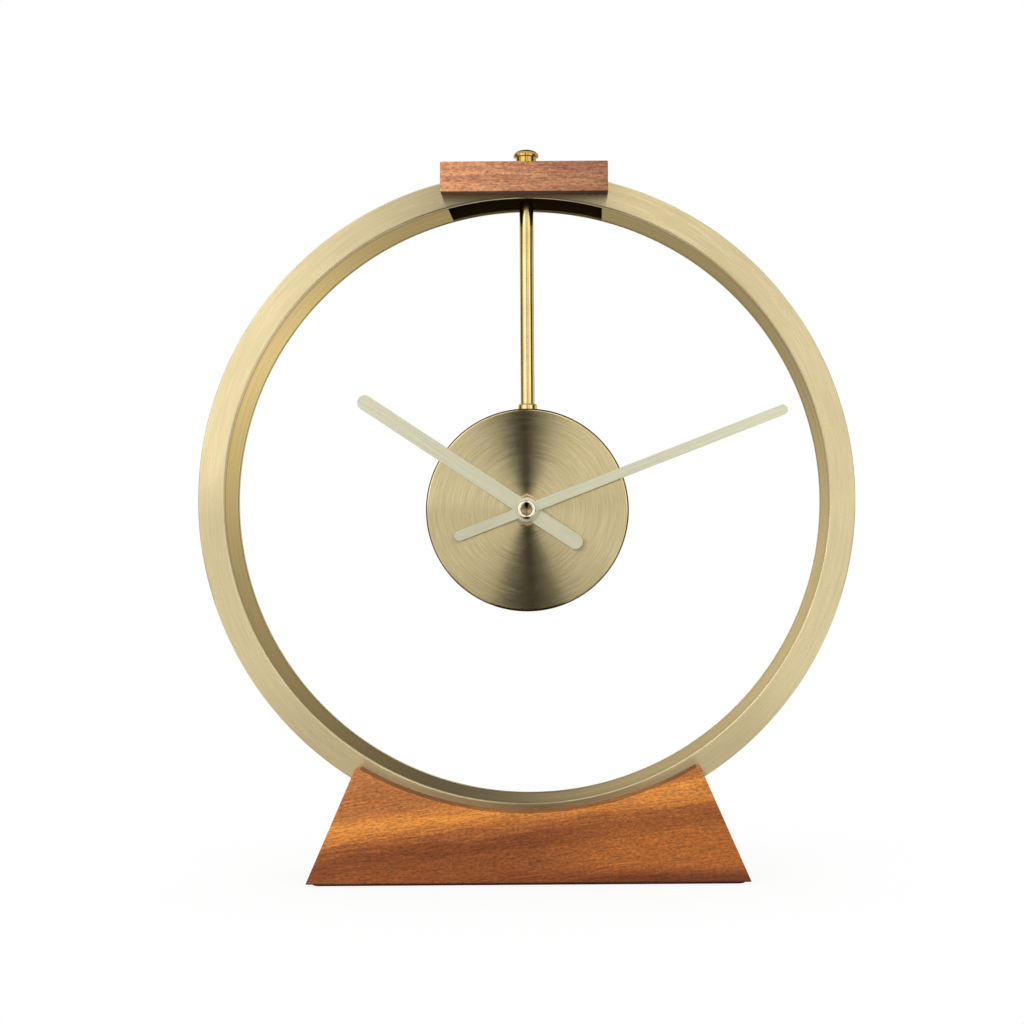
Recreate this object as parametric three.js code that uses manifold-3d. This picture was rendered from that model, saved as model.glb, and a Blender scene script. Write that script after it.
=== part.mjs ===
// Ring desk clock: a brass hoop on a wooden foot, with a battery clock drum hung inside it from a rod.
// Millimetres, +Z up, the dial faces -Y. The origin lies under the middle of the foot.

import * as THREE from 'three';
import { mergeVertices } from 'three/addons/utils/BufferGeometryUtils.js';
import Module from 'manifold-3d';

const wasm = await Module();
wasm.setup();

// Clearances
const seatGap = 0.1;
const slideGap = 0.3;
const runningGap = 0.1;
const threadGap = 0.15;

// Flats that stand for a full circle. An arc drawn in a shape gets twice the arc steps.
const hoopSides = 84;
const drumSides = 64;
const roundSides = 20;
const smallSides = 12;
const arcSteps = 8;
const cornerSteps = 2;

// Hoop
const hoopRadius = 150;
const hoopFaceWidth = 12;
const hoopDepth = 40;
const hoopWall = 1.8;
const coverThickness = 1.2;
const coverSideGap = 0.5;
const coverRecess = 0.2;
const coverOpening = 71;

// Foot
const footWidth = 201.5;
const footTipSpan = 154.4;
const footTipHeight = 52;
const footTipFlat = 1.6;
const footLipThickness = 9.7;
const footLipDip = 20.2;
const footFloor = 22.7;
const footEdge = 0.5;
const padThickness = 1;
const padInset = 2.5;
const padCornerRadius = 4;
const footScrewSpacing = 44;
const footScrewRadius = 1.9;
const footScrewHeadRadius = 3.8;
const footScrewHeadHeight = 2.6;
const footScrewHeadDepth = 9;
const anchorThickness = 2.5;
const anchorWidth = 26;
const anchorEndMargin = 8;

// Top block and the rod that hangs from it
const blockLength = 76;
const blockHeight = 13.9;
const blockLipThickness = 7.7;
const blockRoof = 3;
const blockEdge = 0.4;
const rodRadius = 3.25;
const rodThreadRadius = 2.9;
const rodNutFlats = 10;
const rodNutHeight = 4.6;
const rodWasherRadius = 8;
const rodWasherThickness = 1;
const domeRadius = 5.8;
const domeHeight = 10.4;
const domeRise = 2.8;
const domeBrim = 0.7;
const domeNeckRadius = 4.7;
const domeThreadDepth = 6.5;
const collarRadius = 4.4;
const collarHeight = 2.8;

// Drum that holds the movement
const drumDrop = 4.3;
const drumWall = 1.5;
const drumFace = 2;
const drumEdgeRound = 1.2;
const movementRoom = 5.7;
const rearRoom = 6.6;
const rearCoverThickness = 1.2;
const rearPostRadius = 2.6;
const rearScrewRadius = 1;
const rearScrewHeadRadius = 2.1;
const rearScrewHeadHeight = 1.2;
const rearScrewLength = 7;
const rearScrewAngles = [30, 150, 270];
const windowMargin = 1.3;
const windowCornerRadius = 2;
const knobHoleMargin = 1;

// Hands
const minuteAngle = 69;
const hourAngle = 303.8;
const minuteHandClearance = 5.9;
const minuteHandTail = 35.3;
const minuteHandWidth = 4.7;
const hourHandLength = 92.5;
const hourHandTail = 29.9;
const hourHandWidth = 6.9;
const handThickness = 0.8;
const handHubRadius = 5.6;
const handSpacing = 1.1;
const capRadius = 4.3;
const capHeight = 3.2;
const capEdgeRound = 0.9;
const capDishRadius = 3.1;
const capDishDepth = 1.2;
const capDishSteps = [0.25, 0.5, 0.75, 1];

// Battery
const batteryRadius = 7.1;
const batteryLength = 50.5;
const batteryNubRadius = 2.75;
const batteryNubHeight = 1.2;
const bayClearance = 0.3;
const contactSpace = 1;
const contactThickness = 0.4;
const contactWidth = 10;
const contactDimpleRadius = 2.5;

// Movement case
const caseWall = 1.5;
const dividerWall = 1.2;
const gasketThickness = 0.5;
const gasketRadius = 9;
const bushingRadius = 3.9;
const bushingProud = 0.4;
const shaftNutFlats = 13;
const shaftNutHeight = 2.4;
const shaftWasherRadius = 7;
const shaftWasherThickness = 0.4;
const plateThickness = 1;
const platePostRadius = 1.5;
const bossWall = 0.8;
const blindHoleDepth = 1;

// Wheels
const wheelThickness = 0.9;
const layerGap = 0.4;
const wheelRoom = 0.5;
const centreTeeth = 60;
const centreModule = 0.33;
const intermediateTeeth = 54;
const rotorModule = 0.28;
const fastPinionLeaves = 6;
const minutePinionLeaves = 12;
const minuteWheelTeeth = 36;
const minuteModule = 0.3;
const hourPinionLeaves = 10;
const hourTeeth = 40;
const settingPinionLeaves = 12;
const intermediateDirection = 125;
const rotorDirection = 30;
const minuteWheelDirection = 0;
const settingDirection = 60;
const wheelTooth = { addendum: 0.8, dedendum: 1.1, root: 0.56, tip: 0.2 };
const pinionLeaf = { addendum: 0.55, dedendum: 1.15, root: 0.4, tip: 0.24 };

// Arbors
const minuteArborRadius = 1.65;
const minuteArborTipRadius = 1.1;
const centreArborRadius = 1.4;
const hourTubeWall = 0.7;
const hourTubeProud = 0.3;
const fastArborRadius = 0.45;
const minuteWheelArborRadius = 0.8;
const pivotRadius = 0.4;
const centrePivotRadius = 0.7;
const settingShaftRadius = 1.2;
const knobRadius = 5;
const knobProud = 1.5;
const knobFlutes = 12;
const knobFluteRadius = 0.7;
const knobFluteSides = 6;
const knobSocketDepth = 5;

// Motor
const magnetRadius = 2.5;
const magnetLength = 2.4;
const statorThickness = 1;
const statorHoleGap = 0.4;
const statorBridgeAbove = 2.2;
const statorBridgeBelow = 1.1;
const statorSideMargin = 0.6;
const statorArmWidth = 4;
const coilRadius = 3.3;
const coilLength = 22;
const coilFlange = 1;
const bobbinTubeRadius = 1.7;
const coreThickness = 1.2;
const coreWidth = 2;
const coilRoom = 1.2;

// Circuit board
const boardThickness = 0.8;
const boardRoom = 1;
const chipRadius = 3;
const chipTopRadius = 2.4;
const chipHeight = 0.9;
const chipEdgeHeight = 0.6;
const crystalRadius = 1;
const crystalLength = 6;

// Heights, from the table up
const hoopInnerRadius = hoopRadius - hoopFaceWidth;
const hoopCentreZ = padThickness + seatGap + footFloor + slideGap + hoopRadius;
const webInnerRadius = hoopRadius - hoopWall;
const coverInnerRadius = hoopInnerRadius + coverRecess;
const channelWidth = hoopDepth - 2 * hoopWall;
const footBottom = padThickness + seatGap;
const footDepth = hoopDepth + 2 * (slideGap + footLipThickness);
const blockDepth = hoopDepth + 2 * (slideGap + blockLipThickness);
const blockTop = hoopCentreZ + hoopRadius + slideGap + blockRoof;
const drumZ = hoopCentreZ - drumDrop;

// Layers of the movement, counted backwards from the inside of its front wall
const hourLayer = layerGap;
const minuteLayer = hourLayer + wheelThickness + layerGap;
const plateLayer = minuteLayer + wheelThickness + layerGap;
const centreLayer = plateLayer + plateThickness + layerGap;
const intermediateLayer = centreLayer + wheelThickness + layerGap;
const magnetLayer = intermediateLayer + wheelThickness + layerGap;
const statorLayer = magnetLayer + (magnetLength - statorThickness) / 2;
const coreLayer = statorLayer + statorThickness + seatGap;
const coilAxisLayer = coreLayer + coreThickness / 2;
const cavityDepth = Math.max(
  coilAxisLayer + coilRadius,
  magnetLayer + magnetLength + layerGap,
  bayClearance + 2 * batteryRadius - 2 * caseWall,
) + slideGap;

// Depths, from the dial back
const caseDepth = cavityDepth + 2 * caseWall;
const drumDepth = drumFace + gasketThickness + 2 * seatGap + caseDepth + rearRoom + rearCoverThickness;
const drumFrontY = -drumDepth / 2;
const caseFrontY = drumFrontY + drumFace + gasketThickness + 2 * seatGap;
const cavityFrontY = caseFrontY + caseWall;
const cavityBackY = cavityFrontY + cavityDepth;
const caseBackY = caseFrontY + caseDepth;
const rearCoverY = drumDepth / 2 - rearCoverThickness;
const batteryY = cavityFrontY + bayClearance + batteryRadius;
const shaftWasherFrontY = drumFrontY - seatGap - shaftWasherThickness;
const shaftNutFrontY = shaftWasherFrontY - seatGap - shaftNutHeight;
const bushingFrontY = shaftNutFrontY - bushingProud;
const hourHandBackY = bushingFrontY - slideGap;
const hourHandFrontY = hourHandBackY - handThickness;
const hourTubeFrontY = hourHandFrontY - hourTubeProud;
const minuteHandBackY = hourHandFrontY - handSpacing;
const minuteHandFrontY = minuteHandBackY - handThickness;
const capBackY = minuteHandFrontY - seatGap;

// Radii and axes of the wheels, seen from the front around the hands' axis
const hourModule = minuteModule * (minutePinionLeaves + minuteWheelTeeth) / (hourPinionLeaves + hourTeeth);
const hourTubeRadius = minuteArborRadius + runningGap + hourTubeWall;
const centreAxis = new THREE.Vector2(0, 0);
const intermediateAxis = meshedAxis(
  centreAxis, centreTeeth, fastPinionLeaves, centreModule, intermediateDirection,
);
const rotorAxis = meshedAxis(
  intermediateAxis, intermediateTeeth, fastPinionLeaves, rotorModule, rotorDirection,
);
const minuteWheelAxis = meshedAxis(
  centreAxis, minutePinionLeaves, minuteWheelTeeth, minuteModule, minuteWheelDirection,
);
const settingAxis = meshedAxis(
  minuteWheelAxis, minuteWheelTeeth, settingPinionLeaves, minuteModule, settingDirection,
);
const statorHoleRadius = magnetRadius + statorHoleGap;
const coilAxisZ = rotorAxis.y + statorHoleRadius + statorBridgeAbove + coilRadius + slideGap;
const coilHalf = coilLength / 2;
const coreHalf = coilHalf + statorArmWidth;

// Outline of the movement case, around the hands' axis
const centreTipRadius = (centreTeeth / 2 + wheelTooth.addendum) * centreModule;
const dividerTop = -(centreTipRadius + wheelRoom);
const bayTop = dividerTop - dividerWall;
const bayBottom = bayTop - 2 * (batteryRadius + bayClearance);
const caseBottom = bayBottom - caseWall;
const caseTop = coilAxisZ + coilRadius + coilRoom + caseWall;
const bayHalf = batteryLength / 2 + contactSpace;
const caseHalf = bayHalf + caseWall;
const batteryZ = (bayTop + bayBottom) / 2;
const drumInnerRadius = Math.hypot(caseHalf, Math.max(caseTop, -caseBottom)) + movementRoom;
const drumRadius = drumInnerRadius + drumWall;
const drumTop = drumZ + drumRadius;
const rearPostCircle = drumInnerRadius - rearPostRadius + slideGap / 2;
const minuteHandLength = hoopInnerRadius - drumDrop - minuteHandClearance;

// Finishes
const finishes = {
  satinBrass: { color: 0xcdbf94, roughness: 0.38, metalness: 1 },
  brushedBrass: { color: 0xbfae7c, roughness: 0.3, metalness: 1 },
  polishedBrass: { color: 0xc9a85c, roughness: 0.15, metalness: 1 },
  champagne: { color: 0xd0cdaf, roughness: 0.45, metalness: 0.8 },
  nickel: { color: 0xc8c4ba, roughness: 0.12, metalness: 1 },
  darkWood: { color: 0xa8602e, roughness: 0.55, metalness: 0 },
  paleWood: { color: 0xc18a63, roughness: 0.6, metalness: 0 },
  foam: { color: 0x2a2a2a, roughness: 0.95, metalness: 0 },
  steel: { color: 0x9a9c9e, roughness: 0.35, metalness: 1 },
  blackPlastic: { color: 0x1c1c1e, roughness: 0.5, metalness: 0 },
  greyPlastic: { color: 0x8d8f91, roughness: 0.55, metalness: 0 },
  whitePlastic: { color: 0xe4e2dc, roughness: 0.5, metalness: 0 },
  rubber: { color: 0x202020, roughness: 0.9, metalness: 0 },
  copper: { color: 0xb4682f, roughness: 0.35, metalness: 1 },
  board: { color: 0x2f6b3a, roughness: 0.5, metalness: 0 },
  magnet: { color: 0x4b4b50, roughness: 0.4, metalness: 0.6 },
  battery: { color: 0x5c6670, roughness: 0.35, metalness: 0.4 },
};

function piece(name, geometry, finish) {
  const mesh = new THREE.Mesh(geometry, new THREE.MeshStandardMaterial(finishes[finish]));
  mesh.name = name;
  return mesh;
}

// A group whose origin lies on an axis along Y, given as its x and z
function onAxis(axis, ...pieces) {
  const group = new THREE.Group();
  group.position.set(axis.x, 0, axis.y);
  return group.add(...pieces);
}

// Joining and cutting
function solidOf(geometry) {
  const bare = geometry.clone();
  bare.deleteAttribute('normal');
  bare.deleteAttribute('uv');
  const merged = mergeVertices(bare);
  const corners = merged.index.array;
  const triangles = [];
  for (let i = 0; i < corners.length; i += 3) {
    const [a, b, c] = corners.slice(i, i + 3);
    if (a !== b && b !== c && c !== a) triangles.push(a, b, c);
  }
  return new wasm.Manifold(new wasm.Mesh({
    numProp: 3,
    vertProperties: new Float32Array(merged.attributes.position.array),
    triVerts: new Uint32Array(triangles),
  }));
}

function geometryOf(solid) {
  const mesh = solid.getMesh();
  const geometry = new THREE.BufferGeometry();
  geometry.setAttribute('position', new THREE.BufferAttribute(mesh.vertProperties, 3));
  geometry.setIndex(new THREE.BufferAttribute(mesh.triVerts, 1));
  geometry.computeVertexNormals();
  return geometry;
}

function joined(...geometries) {
  return geometryOf(geometries.map(solidOf).reduce((whole, next) => whole.add(next)));
}

function cut(geometry, ...tools) {
  return geometryOf(tools.map(solidOf).reduce((rest, tool) => rest.subtract(tool), solidOf(geometry)));
}

// Basic shapes
function boxBetween(low, high) {
  const size = high.map((value, i) => value - low[i]);
  const middle = high.map((value, i) => (value + low[i]) / 2);
  return new THREE.BoxGeometry(...size).translate(...middle);
}

// Profiles are [radius, distance along the axis] points, outside first upwards. The axis is Y.
function turned(profile, sides) {
  return new THREE.LatheGeometry(profile.map(([r, along]) => new THREE.Vector2(r, along)), sides);
}

function turnedUpright(profile, sides) {
  return turned(profile, sides).rotateX(Math.PI / 2);
}

function rodProfile(radius, from, to) {
  return [[0, from], [radius, from], [radius, to], [0, to]];
}

function tubeProfile(inner, outer, from, to) {
  return [[inner, from], [outer, from], [outer, to], [inner, to], [inner, from]];
}

function rodAlongY(radius, from, to, sides = roundSides) {
  return turned(rodProfile(radius, from, to), sides);
}

function rodAlongZ(radius, from, to, sides = roundSides) {
  return turnedUpright(rodProfile(radius, from, to), sides);
}

// A rod along Y around an axis that's given as its x and z
function rodAt(axis, radius, from, to, sides = smallSides) {
  return rodAlongY(radius, from, to, sides).translate(axis.x, 0, axis.y);
}

// Draws a front-view shape and makes it solid from one depth to another.
function slab(shape, frontY, backY, curveSegments = arcSteps) {
  const depth = backY - frontY;
  const geometry = new THREE.ExtrudeGeometry(shape, { depth, bevelEnabled: false, curveSegments });
  return geometry.rotateX(Math.PI / 2).translate(0, backY, 0);
}

// The same slab with its front and rear edges broken by a small chamfer.
function edgedSlab(shape, depth, edge, curveSegments) {
  const geometry = new THREE.ExtrudeGeometry(shape, {
    depth: depth - 2 * edge,
    bevelThickness: edge,
    bevelSize: edge,
    bevelOffset: -edge,
    bevelSegments: 1,
    curveSegments,
  });
  return geometry.rotateX(Math.PI / 2).translate(0, depth / 2 - edge, 0);
}

function rectangle(left, bottom, right, top, radius) {
  const quarter = Math.PI / 2;
  const shape = new THREE.Shape();
  shape.moveTo(left + radius, bottom);
  shape.absarc(right - radius, bottom + radius, radius, -quarter, 0, false);
  shape.absarc(right - radius, top - radius, radius, 0, quarter, false);
  shape.absarc(left + radius, top - radius, radius, quarter, 2 * quarter, false);
  shape.absarc(left + radius, bottom + radius, radius, 2 * quarter, 3 * quarter, false);
  return shape;
}

// Angles along a dome's profile, from its foot nearly to its top
const quarterArc = [0, 22.5, 45, 67.5].map(THREE.MathUtils.degToRad);

function circlePath(radius) {
  return new THREE.Path().absarc(0, 0, radius, 0, 2 * Math.PI, false);
}

function hexagon(acrossFlats, holeRadius) {
  const corner = acrossFlats / Math.sqrt(3);
  const points = Array.from({ length: 6 }, (_, i) => direction(90 + 60 * i).multiplyScalar(corner));
  const shape = new THREE.Shape(points);
  shape.holes.push(circlePath(holeRadius));
  return shape;
}

function arcBand(inner, outer, fromDegrees, toDegrees) {
  const from = THREE.MathUtils.degToRad(fromDegrees);
  const to = THREE.MathUtils.degToRad(toDegrees);
  const shape = new THREE.Shape();
  shape.absarc(0, 0, outer, from, to, false);
  shape.absarc(0, 0, inner, to, from, true);
  return shape;
}

function direction(degrees) {
  const angle = THREE.MathUtils.degToRad(degrees);
  return new THREE.Vector2(Math.cos(angle), Math.sin(angle));
}

// How far a circle lies above its centre at a distance x beside it
function riseOnCircle(radius, x) {
  return Math.sqrt(radius * radius - x * x);
}

// Toothed wheels
function pitchRadius(teeth, module) {
  return teeth * module / 2;
}

function meshedAxis(axis, teeth, otherTeeth, module, degrees) {
  const distance = pitchRadius(teeth + otherTeeth, module);
  return direction(degrees).multiplyScalar(distance).add(axis);
}

// The turn, in degrees, that puts a gap of the second wheel where the first wheel has a tooth.
function meshedPhase(degrees, teeth, phase, otherTeeth) {
  const place = ((degrees - phase) * teeth / 360) % 1;
  return degrees + 180 - (0.5 - place) * 360 / otherTeeth;
}

// Root and tip are shares of the pitch: the width of a tooth at its foot and at its top.
function toothedShape(teeth, module, form, phase) {
  const pitch = 360 / teeth;
  const rootRadius = pitchRadius(teeth, module) - form.dedendum * module;
  const tipRadius = pitchRadius(teeth, module) + form.addendum * module;
  const points = [];
  for (let i = 0; i < teeth; i += 1) {
    const middle = phase + i * pitch;
    points.push(direction(middle - form.root * pitch / 2).multiplyScalar(rootRadius));
    points.push(direction(middle - form.tip * pitch / 2).multiplyScalar(tipRadius));
    points.push(direction(middle + form.tip * pitch / 2).multiplyScalar(tipRadius));
    points.push(direction(middle + form.root * pitch / 2).multiplyScalar(rootRadius));
  }
  return new THREE.Shape(points);
}

function wheelAt(layer, teeth, module, form, phase) {
  const frontY = cavityFrontY + layer;
  return slab(toothedShape(teeth, module, form, phase), frontY, frontY + wheelThickness);
}

// Hoop: a channel rolled into a ring with its open side inwards, and a cover strip in the channel
function hoopChannel() {
  const half = hoopDepth / 2;
  const inside = channelWidth / 2;
  const ring = turned([
    [hoopInnerRadius, -half],
    [hoopRadius, -half],
    [hoopRadius, half],
    [hoopInnerRadius, half],
    [hoopInnerRadius, inside],
    [webInnerRadius, inside],
    [webInnerRadius, -inside],
    [hoopInnerRadius, -inside],
    [hoopInnerRadius, -half],
  ], hoopSides);
  const rodHole = rodAlongZ(rodThreadRadius + slideGap, 0, 2 * hoopRadius);
  const screwHoles = footScrewPlaces().map((x) => (
    rodAlongZ(footScrewRadius + slideGap, -2 * hoopRadius, 0).translate(x, 0, 0)
  ));
  return piece('hoop_channel', cut(ring, rodHole, ...screwHoles), 'satinBrass');
}

function hoopCover() {
  const openHalf = THREE.MathUtils.radToDeg(Math.asin(coverOpening / 2 / coverInnerRadius));
  const band = arcBand(coverInnerRadius, coverInnerRadius + coverThickness, 90 + openHalf, 450 - openHalf);
  const half = channelWidth / 2 - coverSideGap;
  return piece('hoop_cover_strip', slab(band, -half, half, hoopSides / 2), 'satinBrass');
}

// The room that a wooden block leaves for the hoop
function hoopRoom() {
  const half = hoopDepth / 2 + slideGap;
  return rodAlongY(hoopRadius + slideGap, -half, half, hoopSides).translate(0, 0, hoopCentreZ);
}

function anchorPlate() {
  const halfLength = footScrewSpacing / 2 + anchorEndMargin;
  const outer = webInnerRadius - slideGap;
  const halfAngle = THREE.MathUtils.radToDeg(Math.asin(halfLength / outer));
  const band = arcBand(outer - anchorThickness, outer, 270 - halfAngle, 270 + halfAngle);
  const plate = slab(band, -anchorWidth / 2, anchorWidth / 2, 2 * cornerSteps);
  const holes = footScrewPlaces().map((x) => (
    rodAlongZ(footScrewRadius + threadGap, -2 * hoopRadius, 0).translate(x, 0, 0)
  ));
  return piece('anchor_plate', cut(plate, ...holes), 'steel');
}

function footScrewPlaces() {
  return [-footScrewSpacing / 2, footScrewSpacing / 2];
}

// Foot: a wooden trapezium with a dished top and a curved slot that the hoop stands in
function footBlock() {
  const half = footWidth / 2;
  const tip = footTipSpan / 2;
  const dipEdge = tip - footTipFlat;
  const dipRadius = (dipEdge * dipEdge + footLipDip * footLipDip) / (2 * footLipDip);
  const dipCentre = footTipHeight - footLipDip + dipRadius;
  const dipAngle = Math.asin(dipEdge / dipRadius);
  const down = -Math.PI / 2;
  const outline = new THREE.Shape();
  outline.moveTo(-half, 0);
  outline.lineTo(half, 0);
  outline.lineTo(tip, footTipHeight);
  outline.absarc(0, dipCentre, dipRadius, down + dipAngle, down - dipAngle, true);
  outline.lineTo(-tip, footTipHeight);
  const block = edgedSlab(outline, footDepth, footEdge, arcSteps).translate(0, 0, footBottom);
  const headSeat = footBottom + footScrewHeadDepth;
  const screwHoles = footScrewPlaces().flatMap((x) => [
    rodAlongZ(footScrewRadius + slideGap, 0, hoopCentreZ).translate(x, 0, 0),
    rodAlongZ(footScrewHeadRadius + slideGap, 0, headSeat).translate(x, 0, 0),
  ]);
  return piece('foot_block', cut(block, hoopRoom(), ...screwHoles), 'darkWood');
}

function footPad() {
  const halfX = footWidth / 2 - padInset;
  const halfY = footDepth / 2 - padInset;
  const outline = rectangle(-halfX, -halfY, halfX, halfY, padCornerRadius);
  const options = { depth: padThickness, bevelEnabled: false, curveSegments: cornerSteps };
  return piece('foot_pad', new THREE.ExtrudeGeometry(outline, options), 'foam');
}

function footScrew(name, x) {
  const headTop = footBottom + footScrewHeadDepth - seatGap;
  const headBottom = headTop - footScrewHeadHeight;
  const plateTop = hoopCentreZ - riseOnCircle(webInnerRadius - slideGap - anchorThickness, x);
  const end = plateTop + anchorThickness / 2;
  const screw = joined(
    rodAlongZ(footScrewHeadRadius, headBottom, headTop),
    rodAlongZ(footScrewRadius, (headBottom + headTop) / 2, end, smallSides),
  );
  return piece(name, screw.translate(x, 0, 0), 'steel');
}

// Top block, with the nuts that clamp it, the hoop and the rod together
function topBlock() {
  const half = blockLength / 2;
  const outline = new THREE.Shape([
    new THREE.Vector2(-half, blockTop - blockHeight),
    new THREE.Vector2(half, blockTop - blockHeight),
    new THREE.Vector2(half, blockTop),
    new THREE.Vector2(-half, blockTop),
  ]);
  const block = edgedSlab(outline, blockDepth, blockEdge, 1);
  const hole = rodAlongZ(rodThreadRadius + slideGap, hoopCentreZ, blockTop + blockHeight);
  return piece('top_block', cut(block, hoopRoom(), hole), 'paleWood');
}

// The nut has a neck under a wider domed head
function domeNut() {
  const bottom = blockTop + seatGap;
  const shoulder = bottom + domeHeight - domeRise;
  const underHead = shoulder - domeBrim;
  const dome = quarterArc.map((angle) => (
    [domeRadius * Math.cos(angle), shoulder + domeRise * Math.sin(angle)]
  ));
  const neck = [[0, bottom], [domeNeckRadius, bottom], [domeNeckRadius, underHead]];
  const profile = [...neck, [domeRadius, underHead], ...dome, [0, bottom + domeHeight]];
  const holeEnd = bottom + domeThreadDepth + slideGap;
  const hole = rodAlongZ(rodThreadRadius + threadGap, bottom - blockRoof, holeEnd);
  return piece('dome_nut', cut(turnedUpright(profile, roundSides), hole), 'polishedBrass');
}

// The radius at the middle of a flat where a circle is drawn with flats
function flatRadius(radius, sides) {
  return radius * Math.cos(Math.PI / sides);
}

function lockWasherTop() {
  return hoopCentreZ + riseOnCircle(flatRadius(webInnerRadius, hoopSides), rodWasherRadius) - seatGap;
}

function lockNutTop() {
  return lockWasherTop() - rodWasherThickness - seatGap;
}

function lockWasher() {
  const top = lockWasherTop();
  const bottom = top - rodWasherThickness;
  const profile = tubeProfile(rodThreadRadius + slideGap, rodWasherRadius, bottom, top);
  return piece('lock_washer', turnedUpright(profile, roundSides), 'steel');
}

function nutAlongZ(name, top, finish) {
  const options = { depth: rodNutHeight, bevelEnabled: false, curveSegments: arcSteps };
  const nut = new THREE.ExtrudeGeometry(hexagon(rodNutFlats, rodThreadRadius + threadGap), options);
  return piece(name, nut.translate(0, 0, top - rodNutHeight), finish);
}

function drumNutTop() {
  const corner = rodNutFlats / Math.sqrt(3);
  return drumZ + riseOnCircle(flatRadius(drumInnerRadius, drumSides), corner) - seatGap;
}

function hangerRod() {
  const bottom = drumNutTop() - rodNutHeight - seatGap;
  const shankBottom = drumTop + seatGap + collarHeight / 2;
  const shankTop = lockNutTop() - rodNutHeight - seatGap;
  const rod = turnedUpright([
    [0, bottom],
    [rodThreadRadius, bottom],
    [rodThreadRadius, shankBottom],
    [rodRadius, shankBottom],
    [rodRadius, shankTop],
    [rodThreadRadius, shankTop],
    [rodThreadRadius, blockTop + seatGap + domeThreadDepth],
    [0, blockTop + seatGap + domeThreadDepth],
  ], roundSides);
  return piece('hanger_rod', rod, 'polishedBrass');
}

function rodCollar() {
  const bottom = drumTop + seatGap;
  const step = bottom + collarHeight / 2 - seatGap;
  const collar = turnedUpright([
    [rodThreadRadius + threadGap, bottom],
    [collarRadius, bottom],
    [collarRadius, bottom + collarHeight],
    [rodRadius + threadGap, bottom + collarHeight],
    [rodRadius + threadGap, step],
    [rodThreadRadius + threadGap, step],
    [rodThreadRadius + threadGap, bottom],
  ], roundSides);
  return piece('rod_collar', collar, 'polishedBrass');
}

// Drum: a deep round cup with its dial face in front, and a rear cover on three posts
function rearPostPlaces() {
  return rearScrewAngles.map((degrees) => direction(degrees).multiplyScalar(rearPostCircle));
}

function drumShell() {
  const back = drumDepth / 2;
  const faceBack = drumFrontY + drumFace;
  const edge = [90, 60, 30, 0].map((degrees) => {
    const { x, y } = direction(degrees).multiplyScalar(drumEdgeRound);
    return [drumRadius - drumEdgeRound + x, drumFrontY + drumEdgeRound - y];
  });
  const cup = turned([
    [0, drumFrontY],
    ...edge,
    [drumRadius, back],
    [drumInnerRadius, back],
    [drumInnerRadius, faceBack],
    [0, faceBack],
  ], drumSides);
  const postStart = faceBack - drumFace / 2;
  const postEnd = rearCoverY - seatGap;
  const holeEnd = postEnd - rearScrewLength;
  const holeRadius = rearScrewRadius + threadGap;
  const posts = rearPostPlaces().map((place) => rodAt(place, rearPostRadius, postStart, postEnd));
  const postHoles = rearPostPlaces().map((place) => rodAt(place, holeRadius, holeEnd, back));
  const shaftHole = rodAlongY(bushingRadius + slideGap, 2 * drumFrontY, 0);
  const rodHole = rodAlongZ(rodThreadRadius + slideGap, caseTop, 2 * drumRadius);
  const shell = cut(joined(cup, ...posts), shaftHole, rodHole, ...postHoles);
  return piece('drum_shell', shell, 'brushedBrass');
}

function rearCover() {
  const outline = new THREE.Shape(circlePath(drumInnerRadius - slideGap).getPoints(drumSides / 2));
  const halfX = batteryLength / 2 + windowMargin;
  const halfZ = batteryRadius + windowMargin;
  outline.holes.push(rectangle(-halfX, batteryZ - halfZ, halfX, batteryZ + halfZ, windowCornerRadius));
  const plate = slab(outline, rearCoverY, drumDepth / 2, cornerSteps);
  const holeRadius = rearScrewRadius + slideGap;
  const screwHoles = rearPostPlaces().map((place) => rodAt(place, holeRadius, 0, drumDepth));
  const knobHole = rodAt(settingAxis, knobRadius + knobHoleMargin, 0, drumDepth, roundSides);
  return piece('rear_cover', cut(plate, knobHole, ...screwHoles), 'satinBrass');
}

function rearScrew(name, place) {
  const seat = drumDepth / 2 + seatGap;
  const screw = joined(
    rodAt(place, rearScrewRadius, seat - rearScrewLength, seat + rearScrewHeadHeight / 2),
    rodAt(place, rearScrewHeadRadius, seat, seat + rearScrewHeadHeight),
  );
  return piece(name, screw, 'steel');
}

// Movement case: an open box with a threaded neck in front, a battery bay below and a cover behind
function casePostPlaces() {
  const side = caseHalf - caseWall - platePostRadius - wheelRoom;
  const low = dividerTop + platePostRadius + wheelRoom;
  const high = caseTop - caseWall - platePostRadius - wheelRoom;
  return [
    new THREE.Vector2(-side, low),
    new THREE.Vector2(side, low),
    new THREE.Vector2(-side, high),
    new THREE.Vector2(side, high),
  ];
}

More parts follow.
